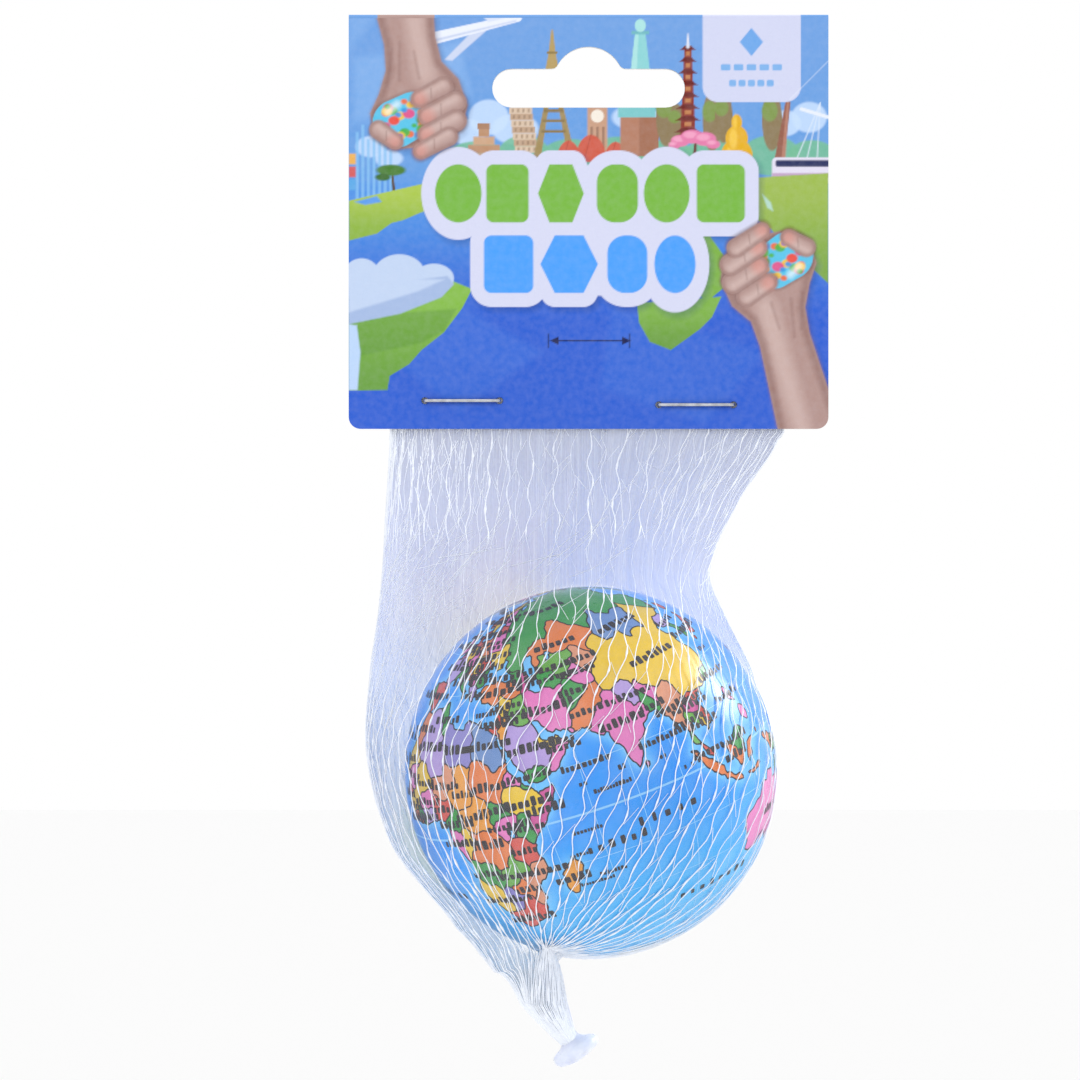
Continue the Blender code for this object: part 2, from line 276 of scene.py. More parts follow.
def print_material():
    """Coated card with its print."""
    paint = Paint("card_print", (0.3, 0.5, 0.9), 0.5, Specular_IOR_Level=0.25)
    ink = paint.attribute("print", colour=True)
    fibre = paint.noise(900, 4)
    paint.set("Base Color", paint.mix(paint.spread(fibre, 0.0, 0.045), ink, (0.86, 0.88, 0.95)))
    paint.set("Roughness", paint.spread(paint.noise(600, 3), 0.42, 0.58))
    weave = paint.join("ADD", paint.noise(1.0, 1, (2600, 1, 400)), paint.noise(1.0, 1, (400, 1, 2600)))
    paint.bump(paint.join("ADD", weave, paint.noise(90, 2)), 0.16, 0.0002)
    return paint.material


def card_material():
    """White board at the cut edges, printed blue over the fold."""
    paint = Paint("card_board", (0.85, 0.85, 0.83), 0.6)
    split = paint.tree.nodes.new("ShaderNodeSeparateXYZ")
    paint.link(paint.place, split.inputs[0])
    over_fold = paint.spread(split.outputs["Z"], 0.0, 1.0, 0.0040, 0.0043)

    def strip(left, right):
        start = paint.spread(split.outputs["X"], 0.0, 1.0, left - 0.0001, left + 0.0001)
        end = paint.spread(split.outputs["X"], 1.0, 0.0, right - 0.0001, right + 0.0001)
        return paint.join("MULTIPLY", start, end)

    fold = paint.mix(strip(0.0194, 0.0361), linear("699DDC"), linear("CED2EC"))
    fold = paint.mix(strip(-0.0359, -0.0262), fold, linear("B0918B"))
    fibre = paint.noise(1100, 4)
    board = paint.mix(paint.spread(fibre, 0.0, 1.0), (0.70, 0.69, 0.66), (0.90, 0.90, 0.88))
    paint.set("Base Color", paint.mix(over_fold, board, fold))
    paint.set("Roughness", paint.spread(paint.noise(700, 3), 0.5, 0.75))
    paint.bump(fibre, 0.25, 0.0002)
    return paint.material


def wire_material():
    paint = Paint("staple_wire", (0.66, 0.67, 0.70), 0.28, Metallic=1.0)
    scratches = paint.noise(1.0, 3, (300, 6000, 6000))
    cloud = paint.spread(paint.noise(800), 0, 1)
    paint.set("Base Color", paint.mix(cloud, (0.36, 0.37, 0.40), (0.56, 0.57, 0.60)))
    paint.set("Roughness", paint.spread(scratches, 0.2, 0.42))
    paint.bump(scratches, 0.2, 0.0001)
    return paint.material


def button_material():
    """Melted net plastic, milky."""
    paint = Paint("button_plastic", (0.72, 0.76, 0.87), 0.35, Specular_IOR_Level=0.5)
    paint.shader.inputs["Subsurface Weight"].default_value = 0.4
    paint.shader.inputs["Subsurface Radius"].default_value = (1.0, 1.0, 1.2)
    paint.shader.inputs["Subsurface Scale"].default_value = 0.0012
    cloud = paint.noise(420, 4)
    paint.set("Base Color", paint.mix(paint.spread(cloud, 0, 1), (0.60, 0.64, 0.80), (0.76, 0.80, 0.90)))
    paint.set("Roughness", paint.spread(paint.noise(900, 3), 0.25, 0.42))
    paint.bump(paint.noise(500, 3), 0.08, 0.0003)
    return paint.material


# ---------------------------------------------------------------- meshes


def new_piece(name, points, faces, material, smooth=True):
    mesh = bpy.data.meshes.new(name)
    mesh.from_pydata(np.asarray(points) * MM, [], faces)
    mesh.materials.append(material)
    mesh.polygons.foreach_set("use_smooth", [smooth] * len(mesh.polygons))
    mesh.update()
    piece = bpy.data.objects.new(name, mesh)
    bpy.context.scene.collection.objects.link(piece)
    return piece


def colour_points(piece, name, colours, domain="POINT"):
    layer = piece.data.color_attributes.new(name, "FLOAT_COLOR", domain)
    rgba = np.ones((len(colours), 4), np.float32)
    rgba[:, : colours.shape[1]] = colours
    layer.data.foreach_set("color", rgba.ravel())


# ---------------------------------------------------------------- globe

# Coast lines by longitude and latitude, in degrees
AFRICA = rows(
    """
    -6 36, -2 35.2, 3 37, 10 37.4, 11 35, 10 34, 15 32.4, 20 31, 20 32.7, 23 32.7, 29 31, 32.5 31.3, 34 28,
    37 22, 37.3 18.8, 39.5 15.5, 43 11.8, 44.5 10.5, 51.2 12, 50.8 9.5, 48 4.5, 45 2, 42 -1, 39.3 -4.8,
    39 -8, 40.6 -11, 40.7 -15, 36.8 -18, 34.8 -20, 35.5 -24, 32.8 -26, 32.5 -28.5, 30 -31.5, 26 -34,
    20 -34.8, 18.2 -33.5, 17.5 -30, 15 -26.5, 14.5 -22.8, 11.8 -17.5, 13.6 -12, 13 -8.5, 12 -5.5, 9 -1,
    9.7 4, 8.5 4.7, 5 6, 2 6.3, -2 4.8, -7.6 4.4, -11.5 6.8, -13.3 9, -15 11, -17.2 14.7, -16.3 19, -17 21,
    -14.8 25, -12.5 28, -9.7 30, -8 33.3
    """
)
EURASIA = rows(
    """
    -9 37, -9.4 39, -8.8 43.2, -2 43.4, -1.2 46, -4.6 48.5, -1.5 49.7, 2 51, 5 53.3, 8.5 54, 8.2 57,
    10.5 57.7, 10.5 55, 12.5 54.3, 18.5 54.7, 21 55.5, 21.5 57.5, 24.3 57.3, 23.5 59.2, 29.8 60, 22.3 60.4,
    21.3 62, 25.3 65, 22 65.8, 17.3 61.7, 18.8 60, 16.5 57, 14.2 55.4, 12.8 55.6, 11 59, 8 58, 5.3 59, 5 62,
    10 64, 14.5 68, 20 70, 28 71, 41 67.5, 34 67, 33 66.5, 37 64.3, 40.5 64.7, 44 66, 43.5 68.5, 54 68.5,
    60.5 69, 68 68.3, 66.8 71, 70 73, 73 71.5, 73.5 67, 75 68.5, 75 72.5, 87 75.2, 104 77.7, 113 76,
    113.5 73.6, 127 73.5, 130 71, 140 72.8, 152 71, 160 69.8, 180 69, 190 66, 187 64.5, 179 62.5, 171 60,
    164 59.8, 162.5 56, 156.8 51, 155.7 56.5, 163 62, 157 61.5, 154 59.5, 143 59.3, 135.3 54.8, 141 53,
    140 48, 135.5 44.3, 131.5 43, 127.5 39.7, 129.4 37, 129 35.3, 126.4 34.5, 126.7 37.5, 125 39.5,
    121.5 39, 121.8 40.8, 118 39, 119 37.3, 122.4 37, 119.5 35, 121.8 31.8, 121.8 29, 119.5 25.5,
    116.8 23.3, 113.5 22.2, 110.3 21.2, 108.2 21.5, 105.8 19, 107 17, 109 13.5, 109 11.5, 106.7 10.3,
    104.9 8.7, 105 10.3, 102.5 12.1, 100.8 13.4, 99.9 12.5, 99.3 9.5, 100.5 7.2, 103.3 4.2, 104.2 1.4,
    103.4 1.5, 101.3 2.9, 100.3 6, 98.3 8, 98.6 12, 97.6 16.4, 95.4 15.8, 94.3 18.8, 92 21.5, 91 22.7,
    89 21.7, 87 21.5, 85 19.8, 82.3 16.6, 80.2 15.6, 80.2 13, 79.9 10.3, 78.2 8.9, 77.5 8.1, 76.3 10,
    74.8 13, 73.3 17, 72.8 20, 72.6 21.5, 70.5 20.8, 69 22.2, 67.3 24.8, 61.6 25.2, 57.5 25.7, 56.8 27.1,
    54.5 26.6, 51.5 27.9, 50.2 30, 48 29.5, 48.6 28.3, 50.2 26.5, 51 24.6, 54 24.1, 56.3 26.2, 56.6 24.3,
    59.8 22.5, 58 20.4, 55.2 17.6, 52.2 15.6, 48.8 14, 45 12.8, 43.4 12.7, 42.3 16.8, 39.2 20.5, 38.3 23.5,
    35 28, 34.8 29.4, 34.3 27.8, 32.6 29.9, 32.4 31.2, 34.3 31.4, 35.7 34.2, 36 36.6, 34 36.3, 30.6 36.9,
    28 36.7, 26.5 38.5, 26.3 40, 29 41, 31.3 41.3, 35 42, 38 41, 41.5 41.5, 41 43, 37.5 44.8, 39.2 47.2,
    35 46.2, 36.5 45.3, 33.5 44.5, 32.8 46, 30.8 46.5, 28.8 44.8, 27.8 42.5, 28.3 41.5, 26.3 40.8,
    23.8 40.2, 23 38, 22.8 36.6, 21.3 37.5, 19.4 41, 19.3 42, 15.5 43.8, 13.6 45.3, 12.4 45, 12.4 44.2,
    14 42.5, 16 41.6, 18.4 40.1, 16.8 40.4, 16.5 38.8, 15.8 38, 16 39.8, 12.5 41.6, 10.3 43.5, 8.8 44.4,
    6.5 43.2, 3.3 43.1, 3 41.8, 0.2 39.9, -0.3 38.3, -2 36.8, -5.4 36.2, -6.5 37
    """
)
NORTH_AMERICA = rows(
    """
    -168 65.7, -162 66.5, -166 68.3, -156.5 71.2, -141 69.7, -128 70.3, -115 68.5, -96 68, -94 71.8,
    -88 68.5, -82 69.5, -85 66, -94 61, -93 58.7, -88 56.6, -82.3 55, -80 51.2, -77 56, -78 60, -74 62.3,
    -70 61, -67 58.5, -64.5 60.3, -60 55.5, -56 52.5, -66 50.2, -68 48.8, -64.5 49, -64.8 46.5, -61 45.8,
    -65.8 43.6, -70 43.5, -70.5 41.8, -74 40.6, -76 37, -75.7 35.3, -79 33, -81.3 31, -80.2 26, -81 25.2,
    -82.8 28, -84 30, -89 30.2, -94.5 29.4, -97.3 27.5, -97.7 22.5, -95.8 18.7, -92 18.6, -90.4 21,
    -87 21.4, -88.8 15.9, -84 15.8, -83.5 11.5, -82 9, -79.5 9.5, -77.5 8.5, -80.3 7.4, -83 8.3, -85.7 10.4,
    -87.5 13, -95 16, -102 17.9, -105.5 20.3, -109.3 25.8, -112.8 30, -114.7 31.5, -111 26, -109.5 23,
    -112 25, -115 28, -117.2 32.6, -120.6 34.6, -122.5 37.5, -124.3 40.4, -123 49, -130.5 55, -135 58.5,
    -147 60.8, -151.5 59.3, -162.5 55, -158 58.3, -165 61.5, -161 64.3, -166.5 64.5
    """
)
SOUTH_AMERICA = rows(
    """
    -77.3 8.5, -75.3 10.7, -71.7 12.3, -66 10.6, -62 10.6, -59 8.3, -52 5, -50 1, -44.5 -2.6, -39.5 -3,
    -35.3 -5.3, -35 -9, -39 -13.5, -39.2 -18, -41 -22, -45 -23.4, -48.6 -26.5, -50 -29.8, -53.5 -34,
    -58.3 -34, -57 -36.5, -62 -39, -65 -41, -67.4 -46, -65.8 -47.5, -69 -51, -65.2 -54.8, -71 -54,
    -75 -50.5, -74.3 -44, -73.3 -39, -71.5 -33, -70.3 -25, -70.3 -18.3, -76 -14, -81.2 -5, -80 0.8, -77.8 3
    """
)
AUSTRALIA = rows(
    """
    114 -22, 113.5 -26, 115.7 -31.8, 115 -34.2, 118 -35, 123.5 -34, 129 -31.6, 132 -32, 135.5 -34.8,
    138 -33, 137.8 -35.5, 140 -37.8, 144 -38.4, 146.4 -39, 150 -37.4, 151.3 -33.5, 153.2 -29, 153 -25.5,
    149.8 -22.3, 146.3 -18.9, 145.4 -15, 142.5 -10.8, 140.8 -17.4, 137 -15.8, 135.8 -12.2, 131 -12.2,
    129.5 -14.9, 126.5 -14, 122.3 -17.8
    """
)
ISLANDS = [
    rows(outline)
    for outline in """
    49.3 -12, 50.4 -15.5, 47.2 -24.8, 45.3 -25.5, 43.4 -22.5, 44.4 -19.8, 44.2 -16.5, 48 -13.6; -5.5 50.2,
    1.2 51.2, 1.6 52.8, -2 56, -2 57.6, -4 58.5, -5.5 57, -4.8 55, -5 51.8; -10 52, -6.3 52.2, -5.8 54.6,
    -8 55.2; -24 65.5, -16 66.5, -13.7 65, -18.5 63.4, -22.5 63.9; 80 9.5, 81.8 7.5, 81 6.2, 80.1 6.1,
    79.8 8; 95.3 5.6, 97.5 5.2, 103.6 -0.8, 106 -3.1, 105.8 -5.8, 102.2 -3.8, 98.7 1.7; 105.2 -6.8,
    106.1 -6, 110.9 -6.4, 114.5 -7.8, 114.4 -8.7, 110 -8.1; 116 -8.3, 119 -8.4, 123 -8.4, 127 -8.6, 124 -10,
    120 -9.8; 109 1.5, 113.2 3.2, 117 7, 119.2 5.3, 117.8 3.5, 118.8 1, 116.3 -3.5, 114.5 -4, 110 -1.6;
    119 -3.5, 119.7 -5.5, 121 -3, 122.5 -4.6, 121.8 -1, 124.8 1.6, 120.2 1; 127.5 2, 128.7 1.2, 128 -1;
    131 -0.8, 134 -0.8, 135 -3.3, 138 -1.7, 145 -4.3, 147 -6.8, 150.5 -10.6, 147.5 -10, 143 -9.2, 139 -8.1,
    137.8 -6, 132.8 -2.8; 120.5 18.5, 122.2 18.4, 121.6 15.5, 124 12.8, 120.8 13.8, 119.9 16.3; 122 7.5,
    123.5 11.2, 125.6 9.8, 126.5 7.4, 125.5 5.8; 130.9 34, 133 35.5, 136.7 37.2, 139.5 39, 141.3 41.3,
    142 39.3, 140.8 36, 135.5 33.6; 140 42, 141.7 45.4, 145.3 43.4, 143 42; 129.8 33.3, 131.9 33.5,
    131 31.2, 130.2 31.4; 120.2 23, 121.3 25.2, 121.9 25, 120.8 22; 142 54, 143.3 52, 142.5 46, 141.9 46.5;
    145 -40.8, 148.3 -40.9, 146.5 -43.4; 173 -35, 178.3 -37.7, 176.8 -40, 175 -41.5, 174 -38; 172.7 -40.6,
    174.2 -41.7, 170.8 -45.8, 168.5 -46.5, 166.7 -45.8, 170.5 -43; -45 60, -53.5 67.5, -51 70.5, -60 76,
    -70 77.5, -65 80.5, -45 82.5, -25 83, -15 81, -20 76, -25 70, -40 65; -80 73.5, -72 71, -62 66.5,
    -66 63, -76 68, -88 71, -88 73.5; -117 72.5, -105 72.5, -105 69, -116 69.3; -85 81, -63 82.3, -75 79,
    -80 76.3, -90 76.5; -84.8 21.9, -80 23, -74.3 20.2, -77.5 19.9; -74.3 18.4, -73 19.9, -68.6 18.8,
    -71 18; 53 71, 57 73, 67 76.8, 60 76, 55 73
    """.split(";")
]
LAKES = [
    rows(outline)
    for outline in """
    47 45.5, 50 46.8, 53 46.5, 51.5 44.5, 52.5 42.5, 52.8 40, 53.8 39, 53.9 37, 51 36.7, 49 37.6, 49.2 39.3,
    50.3 40.4, 48.6 42, 47.5 43; 58.5 44, 59.5 46.5, 61.5 46.3, 61 44.2; 32 0.4, 34 0.3, 34 -2.3, 32 -2.3;
    -92 46.7, -88 48.5, -84.5 46.5, -86.5 41.8, -88 44
    """.split(";")
]
MAP_INKS = {
    "green": "33A03C", "leaf": "6CB43A", "orange": "EE8132", "amber": "F5A52C", "yellow": "F6CE1E",
    "pink": "EF7CC6", "rose": "D8559F", "lilac": "BDA3E6", "violet": "8F86D2", "steel": "6D93CF",
    "red": "DE4A33", "salmon": "E79A72", "ice": "E8EEF2",
}
# Each country's ink, then places inside it by longitude and latitude
COUNTRY_TEXT = """
    green 75 62, 40 57, 50 55, 60 60, 90 60, 105 60, 120 62, 135 62, 150 64, 165 65, 178 67, 45 48, 133 50,
    100 70, 130 70, 35 64, 55 53, 85 55, 110 54, 143 50, 158 54, 44 44, -172 66; orange 66 48, 56 48, 78 47,
    52 45, 72 51; steel 104 46.5, 96 47.5, 111 46.5; yellow 103 35, 85 41, 90 34, 105 32, 112 34, 112 27,
    117 30, 120 43, 126 46, 107 40, 81 35, 106 25, 98 40, 95 30, 116 38; salmon 75 41.5; pink 71 38.5;
    leaf 65 41.5, 59 43; green 58.5 39; green 66 34; orange 68 28.5, 72.3 31.5; pink 78 23, 77 28, 74 25,
    84 23, 76 18, 80 18, 77 13, 78 10, 93 26.5, 81 26; lilac 84 28.4; green 90 24; salmon 96 21, 98 14,
    97 25; leaf 101 15, 99 10; rose 103 19; red 106 21, 108 14; yellow 105 12.5; red 102 4; green 114.5 3.5;
    orange 113 -1, 100 0, 104 -3, 110 -7, 121 -2, 135 -4, 128 -3, 120 -8.5; green 145 -6; pink 121 16,
    125 8; green 121 24; red 138 36, 143 43, 131 33; lilac 127 40.3; green 128 36; pink 55 32, 50 35, 58 35,
    56 28; leaf 43.5 33; yellow 38.5 35; orange 35 39, 30 39, 41 39; green 43.5 42.2; rose 46 40.3;
    amber 36.8 31; red 34.8 31.8; lilac 45 24, 42 27, 49 20.5, 40 29.5, 44 19; green 47 15.7, 44 14.5;
    pink 57 21.5, 55.5 18.8; yellow 54.3 23.6; steel 30 27, 26 29, 32 24; violet 17 27, 21 28, 13 30;
    green 9.5 34; lilac 2 28, 5 33, -2 31, 6 24; orange -6 32; yellow -13 25; pink -11 20; yellow -3 18,
    -7 14; salmon 9 17, 12 19; amber 18 14, 18 19; orange 29 15, 33 18, 27 19, 31 12; green 30 7.5;
    yellow 40 8, 37 11, 43 6.5; pink 38.5 15.5; rose 46 5, 49 9.5, 43 1; green 38 0.5; pink 32.5 2.2;
    red 35 -6.5, 37 -8; orange 23 -2.5, 25 -8, 18.5 -3; amber 20 6.7, 24 7; green 12.5 5; red 8 10;
    lilac -1 8; green -6 7.5; pink -1.5 12.3; red -15 14; yellow -11 10.5; orange -9.5 6.5; pink 12 -1;
    yellow 15.5 -1.2; green 17.5 -12, 21 -13; leaf 27 -14, 31 -11; salmon 38 -14, 34.5 -17.5, 33.5 -23;
    orange 30 -19.5; violet 24 -22.5; yellow 17 -22, 16.5 -18.5; red 24 -31, 28 -27, 20 -32, 30 -29;
    amber 47 -19, 45 -23, 49 -15; yellow 31 49; pink 28 53.5; orange 19 52; yellow 10 51; lilac 2 47;
    red -4 40; green -8 39.7; green 12.5 43; orange 18 44.5; pink 21 44; red 25 46; green 25 42.7;
    lilac 22 39.5; pink 14 48.5; yellow 19 47; red 25 57; pink 26 63; yellow 15 61, 19 66; orange 9 61,
    14 67; pink -2 53, -4 57; green -8 53; orange -19 65; red 9.5 56; ice -40 72; pink -100 58, -95 52,
    -75 50, -125 60, -65 54, -100 66, -70 70, -80 80, -110 71, -120 53; yellow -98 40, -85 38, -115 40,
    -80 34, -120 46, -72 44, -95 32; yellow -150 65, -160 60; green -102 24, -97 18, -110 29, -90 20;
    red -86 13, -90 15; pink -82 9; orange -79 22; lilac -71 19; orange -73 4; pink -66 7; yellow -58 5;
    lilac -78 -1.5; yellow -75 -9, -72 -14; green -52 -8, -47 -15, -60 -5, -52 -25, -40 -8, -58 -13;
    red -65 -17; amber -58 -23; lilac -65 -35, -68 -45, -63 -28, -69 -50; orange -71.5 -30, -73 -42,
    -70 -21; pink -56 -33; pink 134 -25, 120 -25, 147 -25, 145 -35, 131 -15, 118 -32, 146.5 -42;
    green 172 -42, 176 -38; ice 0 -80, 60 -75, 120 -75, 180 -75, -120 -75, -60 -75
"""
COUNTRIES = []
for country in COUNTRY_TEXT.split(";"):
    ink_name, inner_places = country.split(maxsplit=1)
    COUNTRIES.append((MAP_INKS[ink_name], *rows(inner_places)))
# Ocean and sea names: longitude, latitude, marks, their height and the gap between them in mm
SEA_NAMES = (
    (64, -11.5, 6, 1.6, 1.0), (82, -8, 5, 1.6, 1.6), (62, 14.5, 9, 1.25, 0.25), (88.5, 13.5, 11, 1.1, 0.2),
    (56.5, -5, 9, 0.8, 0.15), (68, 5.5, 12, 0.8, 0.1), (60, -20.5, 8, 0.8, 0.12), (54, -22.5, 12, 0.7, 0.1),
    (59.5, 9, 2, 0.9, 0.25), (72.5, 10, 2, 0.9, 0.25), (86, 8.5, 2, 0.9, 0.25), (94.5, 2.5, 3, 0.7, 1.0),
    (52, -12, 7, 0.7, 0.15), (32, 34, 9, 0.9, 0.15), (-30, 30, 8, 1.6, 1.2), (-25, 24, 5, 1.6, 1.2),
    (-15, -20, 8, 1.6, 1.2), (-150, 20, 7, 1.8, 1.6), (-150, 12, 5, 1.8, 1.6), (-110, -30, 7, 1.8, 1.6),
    (160, 25, 7, 1.4, 0.9), (100, -40, 8, 1.4, 1.2), (128, 30, 4, 0.9, 0.2), (0, 75, 6, 1.2, 0.6),
)
MAP_CENTRE = (9.8, 62.5)  # latitude and longitude that face the front
MAP_ROLL = 18.2  # the pole leans this far to the left
NORTH_FROM, NORTH_SCALE = 25, 0.73  # this globe draws everything north of here too large
HALO, DEEP, LOWER = linear("76C8F8"), linear("0A90F0"), linear("3CB4F2")


def map_frame():
    """Matrix from the map's own directions to the row frame."""
    lat, lon, roll = (math.radians(a) for a in (*MAP_CENTRE, MAP_ROLL))
    centre = np.array([math.cos(lat) * math.cos(lon), math.cos(lat) * math.sin(lon), math.sin(lat)])
    east = np.array([-math.sin(lon), math.cos(lon), 0])
    north = np.cross(centre, east)
    return (
        np.outer([math.cos(roll), 0, math.sin(roll)], east)
        + np.outer([-math.sin(roll), 0, math.cos(roll)], north)
        + np.outer([0, -1, 0], centre)
    )


def direction(lon, lat):
    lon, lat = np.radians(lon), np.radians(lat)
    return np.stack([np.cos(lat) * np.cos(lon), np.cos(lat) * np.sin(lon), np.sin(lat)], -1)


def inside(outline, x, y):
    """Which points lie in a closed outline."""
    corners = np.array(outline, float)
    found = np.zeros(len(x), bool)
    for (ax, ay), (bx, by) in zip(corners, np.roll(corners, -1, 0)):
        if ay != by:
            found ^= ((ay > y) != (by > y)) & (x < (bx - ax) * (y - ay) / (by - ay) + ax)
    return found


def wiggle(points, size, frequency, seed):
    """Smooth wandering of points on the globe, so that the listed lines look like coasts."""
    waves = np.random.default_rng(seed).normal(size=(6, 3)) * frequency
    phases = np.arange(6) * 1.7 + seed
    return size * sum(np.sin(points @ wave + phase) for wave, phase in zip(waves, phases)) / 2.4


SEEDS = np.concatenate([direction(*np.array(c[1:], float).T) for c in COUNTRIES])
OWNERS = np.concatenate([[i + 1] * (len(c) - 1) for i, c in enumerate(COUNTRIES)])


def map_labels(points):
    """0 for water, or the number of the country at each direction of the map."""
    lon = np.degrees(np.arctan2(points[:, 1], points[:, 0]))
    lat = np.degrees(np.arcsin(np.clip(points[:, 2], -1, 1)))
    lon = lon + wiggle(points, 0.55, 22, 1) + wiggle(points, 0.3, 60, 2)
    lat = lat + wiggle(points, 0.55, 22, 3) + wiggle(points, 0.3, 60, 4)
    lat = np.where(lat > NORTH_FROM, NORTH_FROM + (lat - NORTH_FROM) * NORTH_SCALE, lat)
    land = lat < -69 + 2.5 * np.sin(np.radians(lon * 2))
    for outline in (AFRICA, EURASIA, NORTH_AMERICA, SOUTH_AMERICA, AUSTRALIA, *ISLANDS):
        land |= inside(outline, lon, lat)
    land |= inside(EURASIA, lon + 360, lat)
    for outline in LAKES:
        land &= ~inside(outline, lon, lat)
    moved = direction(lon, lat) + np.stack([wiggle(points, 0.012, 30, s) for s in (5, 6, 7)], -1)
    nearest = np.argmax(unit(moved) @ SEEDS.T, axis=1)
    return np.where(land, OWNERS[nearest], 0)


def make_globe():
    ball = bmesh.new()
    bmesh.ops.create_icosphere(ball, subdivisions=7, radius=1.0)
    mesh = bpy.data.meshes.new("sphere")
    ball.to_mesh(mesh)
    ball.free()
    points = unit(np.array([v.co for v in mesh.vertices]))
    edges = np.array([e.vertices for e in mesh.edges])
    faces = np.array([f.vertices for f in mesh.polygons])
    bpy.data.meshes.remove(mesh)
    to_row = map_frame()
    places = points @ to_row  # row frame to the map's own
    labels = map_labels(places)

    shore = (labels > 0).astype(float)
    near = shore.copy()
    for _ in range(7):
        total, count = np.zeros(len(near)), np.zeros(len(near))
        for a, b in ((0, 1), (1, 0)):
            np.add.at(total, edges[:, a], near[edges[:, b]])
            np.add.at(count, edges[:, a], 1)
        near = np.maximum(total / count, shore * 0.9)
    deep = LOWER + (DEEP - LOWER) * step(-0.75, 0.05, places[:, 2:])
    water = deep + (HALO - deep) * np.clip(near * 1.5, 0, 1)[:, None] * 0.75

    # Each edge that crosses a border is cut where the border is, and the faces round it are split
    crossing = edges[labels[edges[:, 0]] != labels[edges[:, 1]]]
    low, high = places[crossing[:, 0]], places[crossing[:, 1]]
    for _ in range(6):
        middle = unit(low + high)
        same = map_labels(middle) == labels[crossing[:, 0]]
        low, high = np.where(same[:, None], middle, low), np.where(same[:, None], high, middle)
    cut_index = {tuple(sorted(e)): len(points) + i for i, e in enumerate(crossing.tolist())}
    all_points = [points, unit(low + high) @ to_row.T]
    all_water = [water, (water[crossing[:, 0]] + water[crossing[:, 1]]) / 2]
    extra, extra_water, split_faces, split_labels, borders = [], [], [], [], []
    corner = labels[faces]
    whole = (corner[:, 0] == corner[:, 1]) & (corner[:, 1] == corner[:, 2])
    base = len(points) + len(crossing)
    stacked = np.concatenate(all_points)
    for face in faces[~whole].tolist():
        kinds = [labels[i] for i in face]
        if len(set(kinds)) == 2:
            lone = next(k for k in range(3) if kinds.count(kinds[k]) == 1)
            o, p, q = face[lone:] + face[:lone]
            first, second = cut_index[tuple(sorted((o, p)))], cut_index[tuple(sorted((o, q)))]
            split_faces += [(o, first, second), (first, p, q, second)]
            split_labels += [labels[o], labels[p]]
            borders.append((first, second))
        else:
            cuts = [cut_index[tuple(sorted((face[k], face[(k + 1) % 3])))] for k in range(3)]
            middle = base + len(extra)
            extra.append(unit(stacked[cuts].mean(0)))
            extra_water.append(water[face].mean(0))
            for k in range(3):
                split_faces.append((face[k], cuts[k], middle, cuts[k - 1]))
                split_labels.append(kinds[k])
                borders.append((cuts[k], middle))
    all_points.append(np.array(extra).reshape(-1, 3))
    all_water.append(np.array(extra_water).reshape(-1, 3))
    points, water = np.concatenate(all_points), np.concatenate(all_water)
    loops = [*faces[whole].tolist(), *split_faces]
    owner = np.concatenate([corner[whole][:, 0], split_labels]).astype(int)
    palette = np.array([[0, 0, 0], *(linear(c[0]) * 0.84 for c in COUNTRIES)])
    sizes = np.array([len(loop) for loop in loops])
    vertex = np.concatenate([np.array(loop) for loop in loops])
    kind = np.repeat(owner, sizes)
    colours = np.where(kind[:, None] == 0, water[vertex], palette[kind])

    globe = new_piece("globe_ball", BALL_CENTRE + BALL_RADIUS * points, loops, ball_material())
    colour_points(globe, "print", colours, "CORNER")
    borders = np.array(borders)
    ink = ink_material("map_ink", (0.035, 0.03, 0.035))
    lines = ribbon("globe_borders", points[borders[:, 0]], points[borders[:, 1]], 0.24, 0.02, ink)
    return globe, [lines, make_graticule(to_row), make_names(to_row, ink)]


def ribbon(name, starts, ends, width, lift, material):
    """Flat printed lines between pairs of directions on the ball."""
    along = unit(ends - starts + 1e-9)
    side = np.cross(along, unit(starts + ends)) * width / 2
    spare = along * width * 0.3
    reach = BALL_RADIUS + lift
    corners = np.stack(
        [
            starts * reach - side - spare,
            starts * reach + side - spare,
            ends * reach + side + spare,
            ends * reach - side + spare,
        ],
        1,
    )
    faces = np.arange(len(corners) * 4).reshape(-1, 4)[:, ::-1]
    return new_piece(name, BALL_CENTRE + corners.reshape(-1, 3), faces.tolist(), material)


def make_graticule(to_row):
    """Lines of latitude and longitude where they cross water, the equator widest."""
    starts, ends = [], []
    for lat in range(-60, 75, 15):
        lon = np.arange(-180, 180, 1.0)
        starts.append(direction(lon, np.full_like(lon, lat)))
        ends.append(direction(lon + 1, np.full_like(lon, lat)))
        if lat == 0:
            for shift in (-0.22, 0.22):
                starts.append(direction(lon, np.full_like(lon, shift)))
                ends.append(direction(lon + 1, np.full_like(lon, shift)))
    for lon in range(-180, 180, 15):
        lat = np.arange(-75, 75, 1.0)
        starts.append(direction(np.full_like(lat, lon), lat))
        ends.append(direction(np.full_like(lat, lon), lat + 1))
    starts, ends = np.concatenate(starts), np.concatenate(ends)
    over_water = map_labels(unit(starts + ends)) == 0
    pale = ink_material("map_lines", linear("8CC6F4"))
    starts, ends = starts[over_water] @ to_row.T, ends[over_water] @ to_row.T
    return ribbon("globe_lines", starts, ends, 0.13, 0.015, pale)


